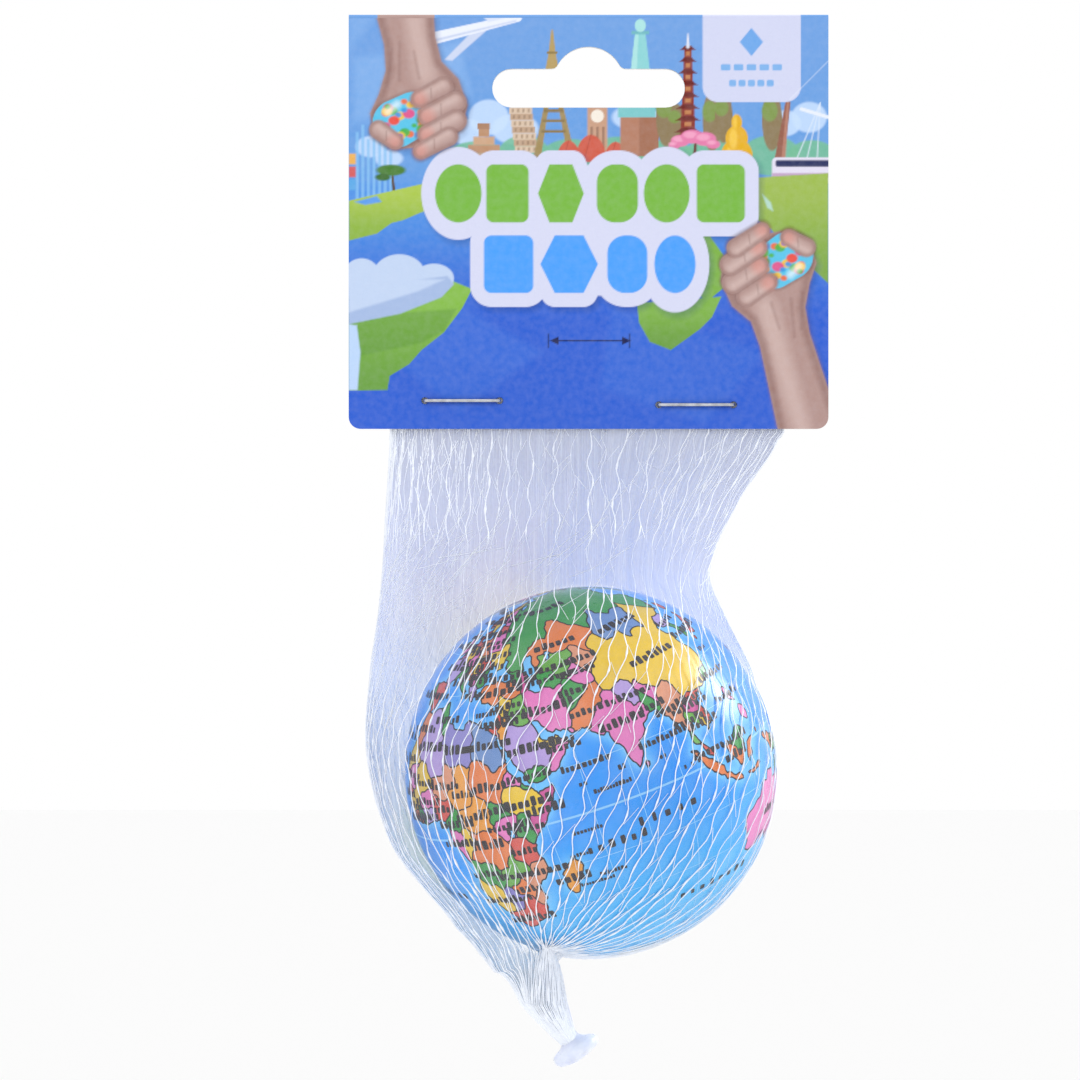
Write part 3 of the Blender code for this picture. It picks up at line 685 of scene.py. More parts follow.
def make_names(to_row, ink):
    """Plain dark marks where a map carries its names: rows of rounded blocks, with no letters."""
    names = [(*c[1], 5 + i % 4, 1.35 if len(c) < 4 else 1.7, 0.3) for i, c in enumerate(COUNTRIES)]
    points, faces = [], []
    turns = np.arange(8) * math.tau / 8 + math.tau / 16
    for lon, lat, count, height, gap in (*names, *SEA_NAMES):
        lat = max(lat, NORTH_FROM + (lat - NORTH_FROM) / NORTH_SCALE)
        if lat > 84:
            continue
        widths = height * rng.uniform(0.42, 0.72, count)
        spots = np.cumsum(widths + gap) - widths / 2 - gap
        spots -= (spots[0] + spots[-1]) / 2
        for spot, width in zip(spots, widths):
            centre = direction(lon + math.degrees(spot / BALL_RADIUS) / math.cos(math.radians(lat)), lat)
            east = unit(np.cross([0, 0, 1], centre))
            north = np.cross(centre, east)
            across = np.sign(np.cos(turns)) * np.abs(np.cos(turns)) ** 0.4 * width / 2
            tall = height * rng.choice((1.0, 0.72))
            up = np.sign(np.sin(turns)) * np.abs(np.sin(turns)) ** 0.4 * tall / 2 - (height - tall) / 2
            flat = centre * BALL_RADIUS + across[:, None] * east + up[:, None] * north
            faces.append(range(len(points) * 8, len(points) * 8 + 8))
            points.append(unit(flat) @ to_row.T * (BALL_RADIUS + 0.035))
    return new_piece("globe_names", BALL_CENTRE + np.concatenate(points), [tuple(f) for f in faces], ink)


# ---------------------------------------------------------------- net

# height, left side, middle, right side, front, centre, back, in mm, as in the frame
NET_PROFILE = np.array(
    (
        (-51.5, -33.8, 0.00, 33.5, -0.28, 0.0, 0.28),
        (-64.8, -33.8, 0.00, 33.3, -0.35, 0.0, 0.35),
        (-66.6, -33.8, 0.00, 32.4, -1.0, 0.0, 1.0),
        (-77.0, -34.4, 0.05, 25.7, -8.3, 0.0, 8.3),
        (-89.0, -35.1, 0.15, 20.7, -16.1, 0.0, 16.1),
        (-97.0, -35.9, 0.25, 23.4, -21.3, 0.0, 21.3),
        (-106.0, -37.2, 0.25, 27.8, -26.7, 0.0, 26.7),
        (-121.0, -37.7, 0.25, 31.0, -31.0, 0.0, 31.0),
        (-136.7, -33.0, 0.25, 28.0, -28.0, 0.0, 28.0),
        (-150.0, -22.4, -0.6, 17.0, -19.0, -1.0, 17.0),
        (-157.0, -16.0, -9.5, -5.2, -11.0, -6.0, -1.0),
    )
)
NET_CLEAR = BALL_RADIUS + 0.3
STRANDS = 84
ROW_LENGTH = 4.7  # mm of strand between one knot and the next
SWING = 0.17  # how far a strand leans to each neighbour, as a share of their spacing
LOFT_TOP, GATHER, TAIL_END = -121.0, -157.0, -169.4
# The gathered tail: height, middle and half width across, middle and half width along
TAIL_ROWS = np.array(
    rows(
        "-162.2 -7.7 4.0 -6.3 3.0, -164.3 -6.6 3.3 -6.2 2.7,"
        "-167.3 -4.6 2.3 -5.8 2.0, -169.4 -2.9 1.7 -5.5 1.5"
    )
)
# Stretches of the net: top, bottom and rows of points
ZONES = {
    "upper": (-51.5, -76.0, 26),
    "shoulder": (-76.0, -96.0, 22),
    "ball": (-96.0, GATHER, 64),
    "tail": (GATHER, TAIL_END, 16),
}
JOIN_RADIUS = 0.055
LOOSE_COUNT = 2600
FILM_INSET = 0.06


def profile_at(height):
    """The net's outlines at each height, on smooth curves through NET_PROFILE."""
    marks = np.concatenate([NET_PROFILE[:1], NET_PROFILE, [2 * NET_PROFILE[-1] - NET_PROFILE[-2]]])
    span = np.clip(np.searchsorted(-NET_PROFILE[:, 0], -height, "right"), 1, len(NET_PROFILE) - 1)
    a, b, c, d = (marks[span + k, 1:] for k in (-1, 0, 1, 2))
    low, high = marks[span, 0], marks[span + 1, 0]
    t = ((height - low) / (high - low))[..., None]
    return 0.5 * (2 * b + (c - a) * t + (2 * a - 5 * b + 4 * c - d) * t**2 + (3 * b - 3 * c + d - a) * t**3)


def push_out(points):
    """Points inside the ball move out to its face."""
    offset = points - BALL_CENTRE
    reach = np.linalg.norm(offset, axis=-1, keepdims=True)
    return np.where(reach < NET_CLEAR, BALL_CENTRE + offset / reach * NET_CLEAR, points)


def ring_point(angle, height):
    left, middle, right, front, centre, back = np.moveaxis(profile_at(height), -1, 0)
    across, along = np.cos(angle), np.sin(angle)
    x = middle + np.where(across > 0, right - middle, middle - left) * across
    y = centre + np.where(along > 0, back - centre, centre - front) * along
    return np.stack([x, y, height], -1)


def net_point(angle, height):
    """A point of the net: the frame's outline above, lines pulled tight over the ball to the gather below."""
    above = np.maximum(height, GATHER)
    free = push_out(ring_point(angle, above))
    share = np.clip((LOFT_TOP - above) / (LOFT_TOP - GATHER), 0, 1)[..., None]
    start = ring_point(angle, np.full_like(above, LOFT_TOP))
    knot = np.stack([-7.2 + 1.6 * np.cos(angle), -7 + 2.6 * np.sin(angle), -154.8 - 1.9 * np.sin(angle)], -1)
    taut = push_out(start + (knot - start) * share)
    loose = step(0.3, 0.92, -np.cos(angle))[..., None]
    bag = np.where(share > 0, taut + (free - taut) * loose, free)
    where = np.clip(-height, 157.0, 169.4)
    tail = [np.interp(where, -TAIL_ROWS[:, 0], TAIL_ROWS[:, k]) for k in range(1, 5)]
    end = np.stack([tail[0] + tail[1] * np.cos(angle), tail[2] + tail[3] * np.sin(angle), -where], -1)
    down = np.clip((where - 157.0) / 5.2, 0, 1)[..., None]
    return bag + (end - bag) * down


def haze_at(angle, height):
    """How thick the finest filaments lie: open where stretched over the ball, close where loose."""
    offset = net_point(angle, height) - BALL_CENTRE
    clear = step(BALL_RADIUS - 0.8, BALL_RADIUS + 0.2, np.hypot(offset[..., 0], offset[..., 2]))
    clear = clear * step(NET_CLEAR, NET_CLEAR + 1.5, np.linalg.norm(offset, axis=-1))
    behind = step(-0.2, 0.2, np.sin(angle))
    front = 0.34 + 0.14 * step(-96.0, -84.0, height) - 0.06 * step(-154.0, -160.0, height)
    back = 0.62 + 0.20 * step(-96.0, -84.0, height) + 0.20 * step(-154.0, -160.0, height)
    return 0.03 + (front + (back - front) * behind - 0.03) * clear


def strand_angle(index, height):
    """Strands stand closer at the left side, and lean over the ball's upper half."""
    turn = index / STRANDS * math.tau
    uneven = turn - 0.16 * np.sin(turn - math.pi) + 0.04 * np.sin(5 * turn + 1.3)
    return uneven + 0.26 * step(-124.0, -94.0, height)


def tubes(paths, radii, sides):
    """Round tubes along many paths of equal length, as points and faces."""
    count, steps = paths.shape[:2]
    along = unit(np.gradient(paths, axis=1) + 1e-9)
    axis = np.array([0.0, 0.0, -110.0])
    out = paths - axis
    out[..., 2] *= 0.3
    across = unit(np.cross(along, out))
    up = np.cross(across, along)
    turn = np.arange(sides) * math.tau / sides
    ring = across[:, :, None] * np.cos(turn)[:, None] + up[:, :, None] * np.sin(turn)[:, None]
    points = paths[:, :, None] + ring * radii[:, :, None, None]
    number = np.arange(count * steps * sides).reshape(count, steps, sides)
    a, b = number[:, :-1], number[:, 1:]
    faces = np.stack([a, np.roll(a, -1, 2), np.roll(b, -1, 2), b], -1).reshape(-1, 4)
    return points.reshape(-1, 3), faces


def threads(first, last, top, low, radius, steps):
    """Short threads across the net from one strand number and height to another."""
    t = np.linspace(0, 1, steps)
    level = top[:, None] + (low - top)[:, None] * t
    index = first[:, None] + (last - first)[:, None] * t
    paths = net_point(strand_angle(index, level), level)
    return tubes(paths, np.broadcast_to(radius[:, None], index.shape), 3)


def within(zone, first, last, top, low, radius):
    """The parts of threads that lie in a zone."""
    high, deep, _ = zone
    start, end = np.minimum(top, high), np.maximum(low, deep)
    use = start - end > 0.25
    span = (last - first) / (top - low)
    return [v[use] for v in (first + span * (top - start), first + span * (top - end), start, end, radius)]


def make_net():
    stretches = [np.linspace(a, b, n, endpoint=False) for a, b, n in ZONES.values()]
    heights = np.concatenate([*stretches, [TAIL_END]])
    starts = np.cumsum([0, *(n for _, _, n in ZONES.values())])
    index = np.arange(STRANDS)[:, None] + np.zeros(len(heights))
    level = np.broadcast_to(heights, index.shape)
    plain = net_point(strand_angle(index, level), level)
    length = np.cumsum(np.linalg.norm(np.diff(plain, axis=1, prepend=plain[:, :1]), axis=-1), axis=1)
    phase = math.pi * (length / ROW_LENGTH + index + 0.9 * np.sin(index * 0.31) + 0.5 * np.sin(index * 1.13))
    phase += 0.5 * np.sin(length * 0.37 + index * 2.3)
    wave = np.clip(1.3 * np.cos(phase), -1, 1)
    sway = 0.10 * np.sin(level * 0.21 + index * 1.9) * step(-96.0, -84.0, level)
    main = net_point(strand_angle(index + SWING * wave + sway, level), level)
    faint = 1 - 0.55 * (index % 2) * step(-98.0, -88.0, level)
    rise = rng.uniform(0.07, 0.11, (STRANDS, 1)) * faint
    beyond = step(31.0, 32.0, np.hypot(main[..., 0] - BALL_CENTRE[0], main[..., 2] - BALL_CENTRE[2]))
    lost = beyond * step(-81.0, -86.0, level) * step(-114.0, -104.0, level)  # strands melt into the film here
    main_radius = rise * (1 + 1.1 * step(0.96, 1.0, np.abs(np.cos(phase)))) * (1 - 0.75 * lost)

    # A fine thread joins each strand to the next at every knot
    joins = []
    for i in range(STRANDS):
        turns = phase[i] / math.tau
        spots = np.arange(math.ceil(turns[0]), turns[-1])
        fall = -np.gradient(heights) / np.maximum(np.gradient(length[i]), 0.05)
        knot = np.interp(spots, turns, heights)
        reach = 1.5 * np.interp(spots, turns, fall) * np.where(spots % 2 > 0.5, 1, -1)
        same = np.ones_like(knot)
        ends = [same * (i + SWING), same * (i + 1 - SWING), knot + reach, knot - reach]
        joins.append(np.stack([*ends, same * JOIN_RADIUS], 1))
    joins = np.concatenate(joins)
    middle = joins[:, 2:4].mean(1)
    bare = haze_at(strand_angle(joins[:, 0], middle), middle) < 0.25
    joins = joins[bare | (middle > -84) | (middle < -108)]

    # Loose finer filaments, most of them in the neck, at the left side and in the tail
    count = LOOSE_COUNT
    centre = rng.uniform(-167, -53, count)
    half = rng.uniform(0.7, 8, count)
    at_left, left_spot = rng.random(count) < 0.4, rng.normal(STRANDS * 0.5, 7, count)
    spot = np.where(at_left, left_spot, rng.uniform(0, STRANDS, count))
    lean = rng.normal(0.25, 0.5, count) + 2.2 * step(-99, -93, centre) * step(-80, -86, centre)
    shown = haze_at(strand_angle(spot, centre), centre) > rng.uniform(0.1, 0.75, count)
    top, low = np.minimum(centre + half, -52), np.maximum(centre - half, -169)
    loose = [v[shown] for v in (spot + lean, spot - lean, top, low, rng.uniform(0.035, 0.07, count))]

    strand, haze = strand_material(), haze_material()
    pieces = {}
    for (zone, limits), first, last in zip(ZONES.items(), starts[:-1], starts[1:]):
        cut = slice(first, last + 1)
        parts = [tubes(main[:, cut], main_radius[:, cut], 5)]
        here = (joins[:, 2:4].mean(1) <= limits[0]) & (joins[:, 2:4].mean(1) > limits[1])
        parts.append(threads(*joins[here].T, 4))
        parts.append(threads(*within(limits, *loose), 9))
        shift = np.cumsum([0, *(len(p) for p, _ in parts)])
        points = np.concatenate([p for p, _ in parts])
        faces = np.concatenate([f + s for (_, f), s in zip(parts, shift)])
        net = new_piece(f"net_strands_{zone}", points, faces.tolist(), strand)

        turn = np.arange(217) * math.tau / 216
        angle, height = np.meshgrid(turn, heights[cut])
        film = net_point(angle, height)
        film -= unit((film - [0, 0, -110]) * [1, 1, 0.2]) * FILM_INSET
        quads = grid_faces(*film.shape[:2])
        veil = new_piece(f"net_fine_{zone}", film.reshape(-1, 3), quads.tolist(), haze)
        flow = np.stack([np.sin(angle / 2) * 3 + np.cos(angle / 2) * 1.7, -height + 0 * angle, 0 * angle], -1)
        colour_points(veil, "flow", flow.reshape(-1, 3))
        thick = veil.data.attributes.new("haze", "FLOAT", "POINT")
        thick.data.foreach_set("value", haze_at(angle, height).astype(np.float32).ravel())
        veil.visible_shadow = False
        net.visible_shadow = zone == "ball"
        pieces[zone] = (net, veil)
    return pieces


# The fused rope: height, middle across and along, radius
ROPE_ROWS = np.array(
    rows(
        "-153.4 -7.6 -8.6 0.7, -154.8 -7.2 -8.0 1.15, -157.0 -6.7 -7.5 1.45, -160.0 -5.9 -6.9 1.6,"
        "-163.0 -5.1 -6.4 1.65, -166.0 -4.3 -5.9 1.6, -168.4 -3.4 -5.45 1.5"
    )
)


def make_rope():
    """Where the strands meet below the ball they lie fused in a milky ribbed rope."""
    level = np.linspace(ROPE_ROWS[0, 0], ROPE_ROWS[-1, 0], 26)
    x, y, size = (np.interp(-level, -ROPE_ROWS[:, 0], ROPE_ROWS[:, k])[:, None] for k in (1, 2, 3))
    down = level[:, None]
    around = 64
    turn = np.arange(around) * math.tau / around
    ribs = 1 + 0.07 * np.cos(11 * turn + down * 0.22) + 0.03 * np.cos(23 * turn - down * 0.4)
    points = np.stack([x + size * ribs * np.cos(turn), y + size * ribs * np.sin(turn), down + 0 * turn], -1)
    number = np.arange(len(level) * around).reshape(len(level), around)
    a, b = number[:-1], number[1:]
    faces = np.stack([a, b, np.roll(b, -1, 1), np.roll(a, -1, 1)], -1).reshape(-1, 4).tolist()
    faces += [tuple(number[0]), tuple(number[-1][::-1])]
    return new_piece("net_rope", points.reshape(-1, 3), faces, BUTTON_LOOK)


# ---------------------------------------------------------------- button


def make_button():
    """The melted end: a stem that flares into a domed disc, a little uneven."""
    tilt = math.radians(32)
    centre, axis = np.array([-1.95, -5.4, -170.4]), np.array([math.sin(tilt), 0, -math.cos(tilt)])
    side = np.array([0.0, 1.0, 0.0])
    other = np.cross(axis, side)
    profile = (
        (-3.0, 1.55), (-2.5, 1.6), (-2.1, 1.8), (-1.75, 2.15), (-1.4, 2.65), (-1.1, 3.25), (-0.75, 3.8),
        (-0.35, 4.15), (0.1, 4.3), (0.55, 4.2), (0.95, 3.75), (1.22, 2.9), (1.36, 1.8), (1.42, 0.6),
    )
    around = 56
    turn = np.arange(around) * math.tau / around
    points = []
    for along, radius in profile:
        uneven = 1 + 0.035 * np.sin(3 * turn + along) + 0.02 * np.sin(7 * turn + 2 * along)
        reach = np.minimum(radius * uneven, 4.35)[:, None]
        drift = 0.42 * np.sin(2 * turn + 1.0)[:, None] * min(radius / 4.2, 1) ** 2
        ring = np.cos(turn)[:, None] * side + np.sin(turn)[:, None] * other
        points.append(centre + axis * (along + drift) + reach * ring)
    number = np.arange(len(profile) * around).reshape(len(profile), around)
    a, b = number[:-1], number[1:]
    faces = np.stack([a, np.roll(a, -1, 1), np.roll(b, -1, 1), b], -1).reshape(-1, 4).tolist()
    faces += [tuple(number[-1]), tuple(number[0][::-1])]
    return new_piece("melted_button", np.concatenate(points), faces, BUTTON_LOOK)


# ---------------------------------------------------------------- printed card


def card_edges(mirror):
    """Edges of the card's printed face, its slot and its staple holes, as points across and up in mm."""
    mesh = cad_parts["header_card"].data
    points = np.array([v.co for v in mesh.vertices]) / MM
    times = {}
    for face in mesh.polygons:
        if face.normal.y < -0.9 and points[face.vertices[0], 1] < -CARD_FACE + 0.05:
            for pair in face.edge_keys:
                times[pair] = times.get(pair, 0) + 1
    edges = np.array([pair for pair, count in times.items() if count == 1])
    return points[edges][:, :, [0, 2]] * [mirror, 1]


class Sheet:
    """A fine grid cut to the card's outline and painted shape by shape, in mm across and up the card."""

    def __init__(self, left, right, pitch, edges):
        across = np.linspace(left, right, round((right - left) / pitch) + 1)
        up = np.linspace(CARD_BOTTOM, CARD_TOP, round((CARD_TOP - CARD_BOTTOM) / pitch) + 1)
        x, z = np.meshgrid(across, up)
        self.x, self.z = x.ravel(), z.ravel()
        quads = grid_faces(*x.shape)[:, [0, 3, 2, 1]]
        outside, nearest = self.to_edge(edges)
        near = (outside > 0) & (outside < pitch * 1.5)
        self.x, self.z = np.where(near, nearest[:, 0], self.x), np.where(near, nearest[:, 1], self.z)
        outside = np.where(near, 0.0, outside)
        self.faces = quads[(outside[quads] < pitch * 0.01).all(1) & (outside[quads].min(1) < 0)]
        self.ink = np.zeros((len(self.x), 3))

    def to_edge(self, edges):
        """How far each point lies past the card's outline, negative inside, and the nearest point of it."""
        here = np.stack([self.x, self.z], -1)
        best, nearest, found = np.full(len(here), 1e9), np.zeros_like(here), np.zeros(len(here), bool)
        for a, b in edges:
            along = b - a
            t = np.clip((here - a) @ along / (along @ along), 0, 1)
            spot = a + t[:, None] * along
            gap = np.hypot(self.x - spot[:, 0], self.z - spot[:, 1])
            nearest[gap < best] = spot[gap < best]
            best = np.minimum(best, gap)
            if a[1] != b[1]:
                level = along[0] * (self.z - a[1]) / along[1] + a[0]
                found ^= ((a[1] > self.z) != (b[1] > self.z)) & (self.x < level)
        return np.where(found, -best, best), nearest

    # Signed distances, negative inside
    def box(self, left, bottom, right, top, radius=0.0):
        dx = np.abs(self.x - (left + right) / 2) - (right - left) / 2 + radius
        dz = np.abs(self.z - (bottom + top) / 2) - (top - bottom) / 2 + radius
        return np.hypot(np.maximum(dx, 0), np.maximum(dz, 0)) + np.minimum(np.maximum(dx, dz), 0) - radius

    def disc(self, x, z, across, up=None):
        up = up or across
        return (np.hypot((self.x - x) / across, (self.z - z) / up) - 1) * min(across, up)

    def bar(self, start, end, first, last=None):
        """A rod with round ends, its radius going from first to last."""
        last = first if last is None else last
        dx, dz = end[0] - start[0], end[1] - start[1]
        t = np.clip(((self.x - start[0]) * dx + (self.z - start[1]) * dz) / (dx * dx + dz * dz), 0, 1)
        return np.hypot(self.x - start[0] - t * dx, self.z - start[1] - t * dz) - first - (last - first) * t

    def shape(self, *corners):
        corners = np.array(corners, float)
        best, found = np.full(len(self.x), 1e9), inside(corners, self.x, self.z)
        for (ax, az), (bx, bz) in zip(corners, np.roll(corners, -1, 0)):
            dx, dz = bx - ax, bz - az
            t = np.clip(((self.x - ax) * dx + (self.z - az) * dz) / (dx * dx + dz * dz), 0, 1)
            best = np.minimum(best, np.hypot(self.x - ax - t * dx, self.z - az - t * dz))
        return np.where(found, -best, best)

    def area(self, corners, *look):
        self.paint(self.shape(*rows(corners)), *look)

    def discs(self, places, *look):
        for place in rows(places):
            self.paint(self.disc(*place), *look)

    def paint(self, distance, colour, soft=0.16, strength=1.0):
        """Colour where a signed distance is negative, with an edge as wide as soft."""
        colour = linear(colour) if isinstance(colour, str) else colour
        cover = np.clip(0.5 - distance / soft, 0, 1)[:, None] * np.reshape(strength, (-1, 1))
        self.ink += (colour - self.ink) * cover

    def fade(self, top, bottom, low, high):
        """A colour that goes from bottom at low to top at high."""
        share = step(low, high, self.z)[:, None]
        return linear(bottom) + (linear(top) - linear(bottom)) * share


def paint_ground(art):
    sky, sea = art.fade("709FDD", "699DDC", -22, 5.5), art.fade("5391E0", "3762CE", -48, -24)
    art.ink[:] = sea + (sky - sea) * step(-26, -20, art.z)[:, None]
    for corners, tone, strength in (
        ("-40 -48, -22 -44, -8 -52, -22 -62", "5F94EA", 0.16),
        ("4 -44, 30 -52, 20 -64, 2 -58", "5F94EA", 0.13),
        ("-34 -52, -30 -65, 0 -65, -10 -55", "345FC8", 0.16),
        ("14 -50, 40 -46, 40 -65, 24 -65", "345FC8", 0.12),
        ("-40 -2, -22 1, -20 -8, -40 -13", "9CC4F2", 0.30),
        ("-40.8 5.5, -36 5.5, -40.8 -1", "9CC4F2", 0.22),
    ):
        art.area(corners, tone, 1.6, strength)
    art.discs(
        "-17 -12 3.4 3, -12.5 -14 4 2.6, -20.5 -14.5 3 2.2, -37 -17 2.6 1.8,"
        "33.5 -13 2.6 2.2, 37.5 -12 3 2.6, 8 -12 4 2.2, -34 -19 2.4 1.4",
        "C3DAF7", 0.4, 0.85,
    )


def paint_land(art):
    right = art.fade("9CB855", "7DA54C", -40, -23)
    art.area("26 -22.4, 40.8 -21.5, 40.8 -40.3, 37.5 -37.2, 35 -34.5, 33 -33.4, 31 -31, 28 -29", right)
    art.area("29.5 -25, 31 -26.5, 31.4 -28, 30.4 -27.4", "B7DCD8", 0.3, 0.8)
    art.area(
        "-40.8 -26.2, -36.5 -25.2, -33 -24.4, -26 -22.8, -25.5 -27.5, -28.5 -28.2, -31.5 -29.5,"
        "-33.5 -30, -36 -31.8, -40.8 -33",
        art.fade("A9C452", "8DB24A", -32, -24),
    )
    art.area("-39.8 -26.4, -36 -25.4, -35.2 -26.4, -38 -26.9", "5F9BE6", 0.3)
    art.area(
        "-40.8 -39.5, -31 -37.6, -24 -39.5, -19.8 -41.2, -21.5 -44.5, -24.6 -48.6, -28.4 -51.6,"
        "-30.5 -54, -33.8 -56, -34.2 -58.4, -40.8 -58.5",
        art.fade("86B94E", "6C9E46", -58, -42),
    )
    art.area("-40.8 -47, -31 -45.2, -22.5 -44.6, -24.6 -48.4, -28.4 -50.4, -40.8 -53", "5F9142", 0.5, 0.5)
    art.area(
        "8.2 -43.6, 22.6 -42.5, 21 -46, 19 -48, 16.8 -49.6, 14 -51.6, 10.4 -50.2, 8.6 -47",
        art.fade("7FB04C", "6C9C44", -51, -44),
    )
    art.area("16.4 -31.5, 20.5 -32, 23 -35.5, 23 -41, 20 -43.5, 17 -40", "7DAE4B")
    cloud = "BFD0EC"
    art.discs("-38.6 -39.6 3.4 3.6, -32.2 -38.8 4.4 3.5, -26.3 -39.4 3.4 2.5, -35.5 -42 5.4 2.6", cloud, 0.2)
    art.area("-40.8 -41, -24 -39, -22.9 -40.4, -25 -42.6, -32 -45.4, -40.8 -47.2", "A3B8DE", 0.3)
    art.area("-40.8 -39, -30 -39.5, -24.6 -39.6, -29 -41.6, -40.8 -45.2", cloud, 0.5)
    art.area("-40.8 -47.2, -39.4 -47.4, -38.8 -52, -39.3 -58.4, -40.8 -58.4", "B9D2F3", 0.3)


def paint_skyline(art):
    art.discs(
        "-19 -18.5 5 2.4, -11 -18.5 4.5 3.4, -3 -18.5 5 2.8, 5 -18.5 5 3.2, 13 -18.5 5 2.6, 22 -18.5 6 3,"
        "31 -18.5 5 3.4, 38 -18.5 4 2.6",
        "74B894", 0.3, 0.9,
    )
    for i in range(4):  # a stepped temple
        steps = art.box(-21.4 + i * 0.9, -19.5 + i * 1.4, -14.2 - i * 0.9, -18.1 + i * 1.4)
        art.paint(steps, ("C9A384", "B98F70")[i % 2])
    art.paint(art.box(-18.9, -14.0, -16.8, -13.0), "A97F63")
    for i in range(7):  # a round bell tower, banded
        left, top = -13.5 + i * 0.16, -10.3 - i * 1.1
        art.paint(art.box(left, top - 1.1, left + 3.9, top), ("D6BFA8", "BFA289")[i % 2])
        for k in range(4):
            window = left + 0.45 + k * 0.9
            art.paint(art.box(window, top - 0.85, window + 0.35, top - 0.25), "8F7661", 0.2, 0.7)
    # an open iron tower behind the slot
    art.area("-6.35 2.9, -6.05 2.9, -5.6 -1, -5.0 -4.2, -7.4 -4.2, -6.8 -1", "B39A63")
    art.paint(art.box(-7.1, -1.2, -5.3, -0.8), "8F7A4C")
    for start, end in (((-7.2, -10.3), (-8.7, -18.6)), ((-4.7, -10.3), (-2.9, -18.6))):
        art.paint(art.bar(start, end, 0.42, 0.62), "9F8A5C")
    for z in (-10.9, -12.6, -14.4):
        art.paint(art.box(-7.5 - (z + 10) * -0.12, z - 0.25, -4.4 + (z + 10) * -0.12, z + 0.25), "8A7650")
    # a clock front
    art.paint(art.box(-0.2, -18.5, 3.2, -10.3), "C59C83")
    art.paint(art.disc(1.5, -11.8, 1.1), "EFE6DA")
    for k in range(3):
        art.paint(art.box(0.3 + k * 1.0, -18, 0.75 + k * 1.0, -13.6), "93705D", 0.2, 0.8)
    for x, z, across, up in rows("-3.4 -19 1.9 3, 4.6 -19 1.8 2.8, 0.4 -19.4 2.6 4.4"):  # red tents
        art.paint(np.maximum(art.disc(x, z, across, up), -(art.z + 19.6)), "CB5F4C")
        art.paint(art.bar((x, z + up), (x - across * 0.45, z), 0.07), "A5463A", 0.2, 0.8)
    # a pale column on a brown plinth, above and below the slot
    art.area("7.2 -3.9, 7.9 2.2, 9.7 2.2, 10.4 -3.9", "8CCFD2")
    art.area("7.2 -3.9, 7.9 2.2, 8.5 2.2, 8.2 -3.9", "A9DEDD")
    art.paint(art.box(7.3, 2.1, 10.3, 2.7), "6FB4BC")
    art.paint(art.disc(8.8, 3.6, 0.95, 1.1), "A9DEDD")
    art.paint(art.box(5.0, -12.0, 11.4, -10.3), "7CC3C6")
    art.paint(art.box(5.4, -18.6, 11.9, -12.0), "B27F68")
    art.paint(art.box(8.6, -18.6, 11.9, -12.0), "96664F", 0.2, 0.6)
    tall_rocks = "13.2 -12 1.7 3.4, 21 -12.6 1.6 3.6, 23 -12 1.5 2.8, 31.2 -12.5 1.7 3.6, 15 -13.5 1.4 2.2"
    for x, z, across, up in rows(tall_rocks):
        art.paint(art.disc(x, z, across, up + 1.6), "8C7B5B")
        art.paint(art.disc(x - 0.4, z + 1.6, across * 0.8, up * 0.5), "7F9A50", 0.3, 0.9)
    middle = 16.9
    for i in range(8):  # a red tiered tower
        z, half = 0.2 - i * 2.0, 0.9 + i * 0.13
        art.paint(art.box(middle - half * 0.72, z - 2.0, middle + half * 0.72, z), "8A3A31")
        eaves, ridge = half + 0.45, half * 0.5
        left, right = [(middle + side * eaves, z - 0.75) for side in (-1, 1)]
        art.paint(art.shape(left, (middle - ridge, z), (middle + ridge, z), right), "6E2B26")
        art.paint(art.box(middle - half * 0.35, z - 1.7, middle + half * 0.35, z - 1.0), "C98B5A", 0.2, 0.8)
    art.paint(art.bar((middle, 2.2), (middle, 0), 0.1, 0.3), "D8DCEC")
    for x, z, across, up in rows("25.2 -18.6 2.7 3, 25.2 -15.6 1.9 2.2, 25.2 -12.9 0.9 1.4"):  # a gold dome
        art.paint(art.disc(x, z, across, up), "E0AE2C")
        art.paint(art.disc(x - across * 0.3, z, across * 0.35, up * 0.8), "F2CB57", 0.4, 0.8)
    art.paint(art.bar((18.0, -19), (18.2, -16.4), 0.35, 0.2), "6B4038")  # a tree in blossom
    for x, z, across in rows("15.6 -16 1.6, 17.6 -15.3 1.9, 19.8 -15.7 1.9, 21.2 -16.6 1.2, 14.6 -16.8 1"):
        art.paint(art.disc(x, z, across, across * 0.62), "DF7DA9", 0.2)
        art.paint(art.disc(x - 0.3, z + 0.3, across * 0.6, across * 0.3), "F0A7C6", 0.3, 0.8)
    # a mast and its cables
    art.paint(art.bar((33.9, -9.6), (32.2, -21), 0.45, 0.9), "94604F")
    art.paint(art.bar((33.9, -9.6), (33.0, -21), 0.15, 0.4), "B98370", 0.2, 0.8)
    for x in (36.2, 38.2, 40.2):
        art.paint(art.bar((39.4, -9.6), (x - 1.4, -20.5), 0.09), "D6E2F2", 0.2, 0.9)
    art.paint(art.bar((36.2, -10.6), (40.8, -12.0), 0.3), "E3E9F3")
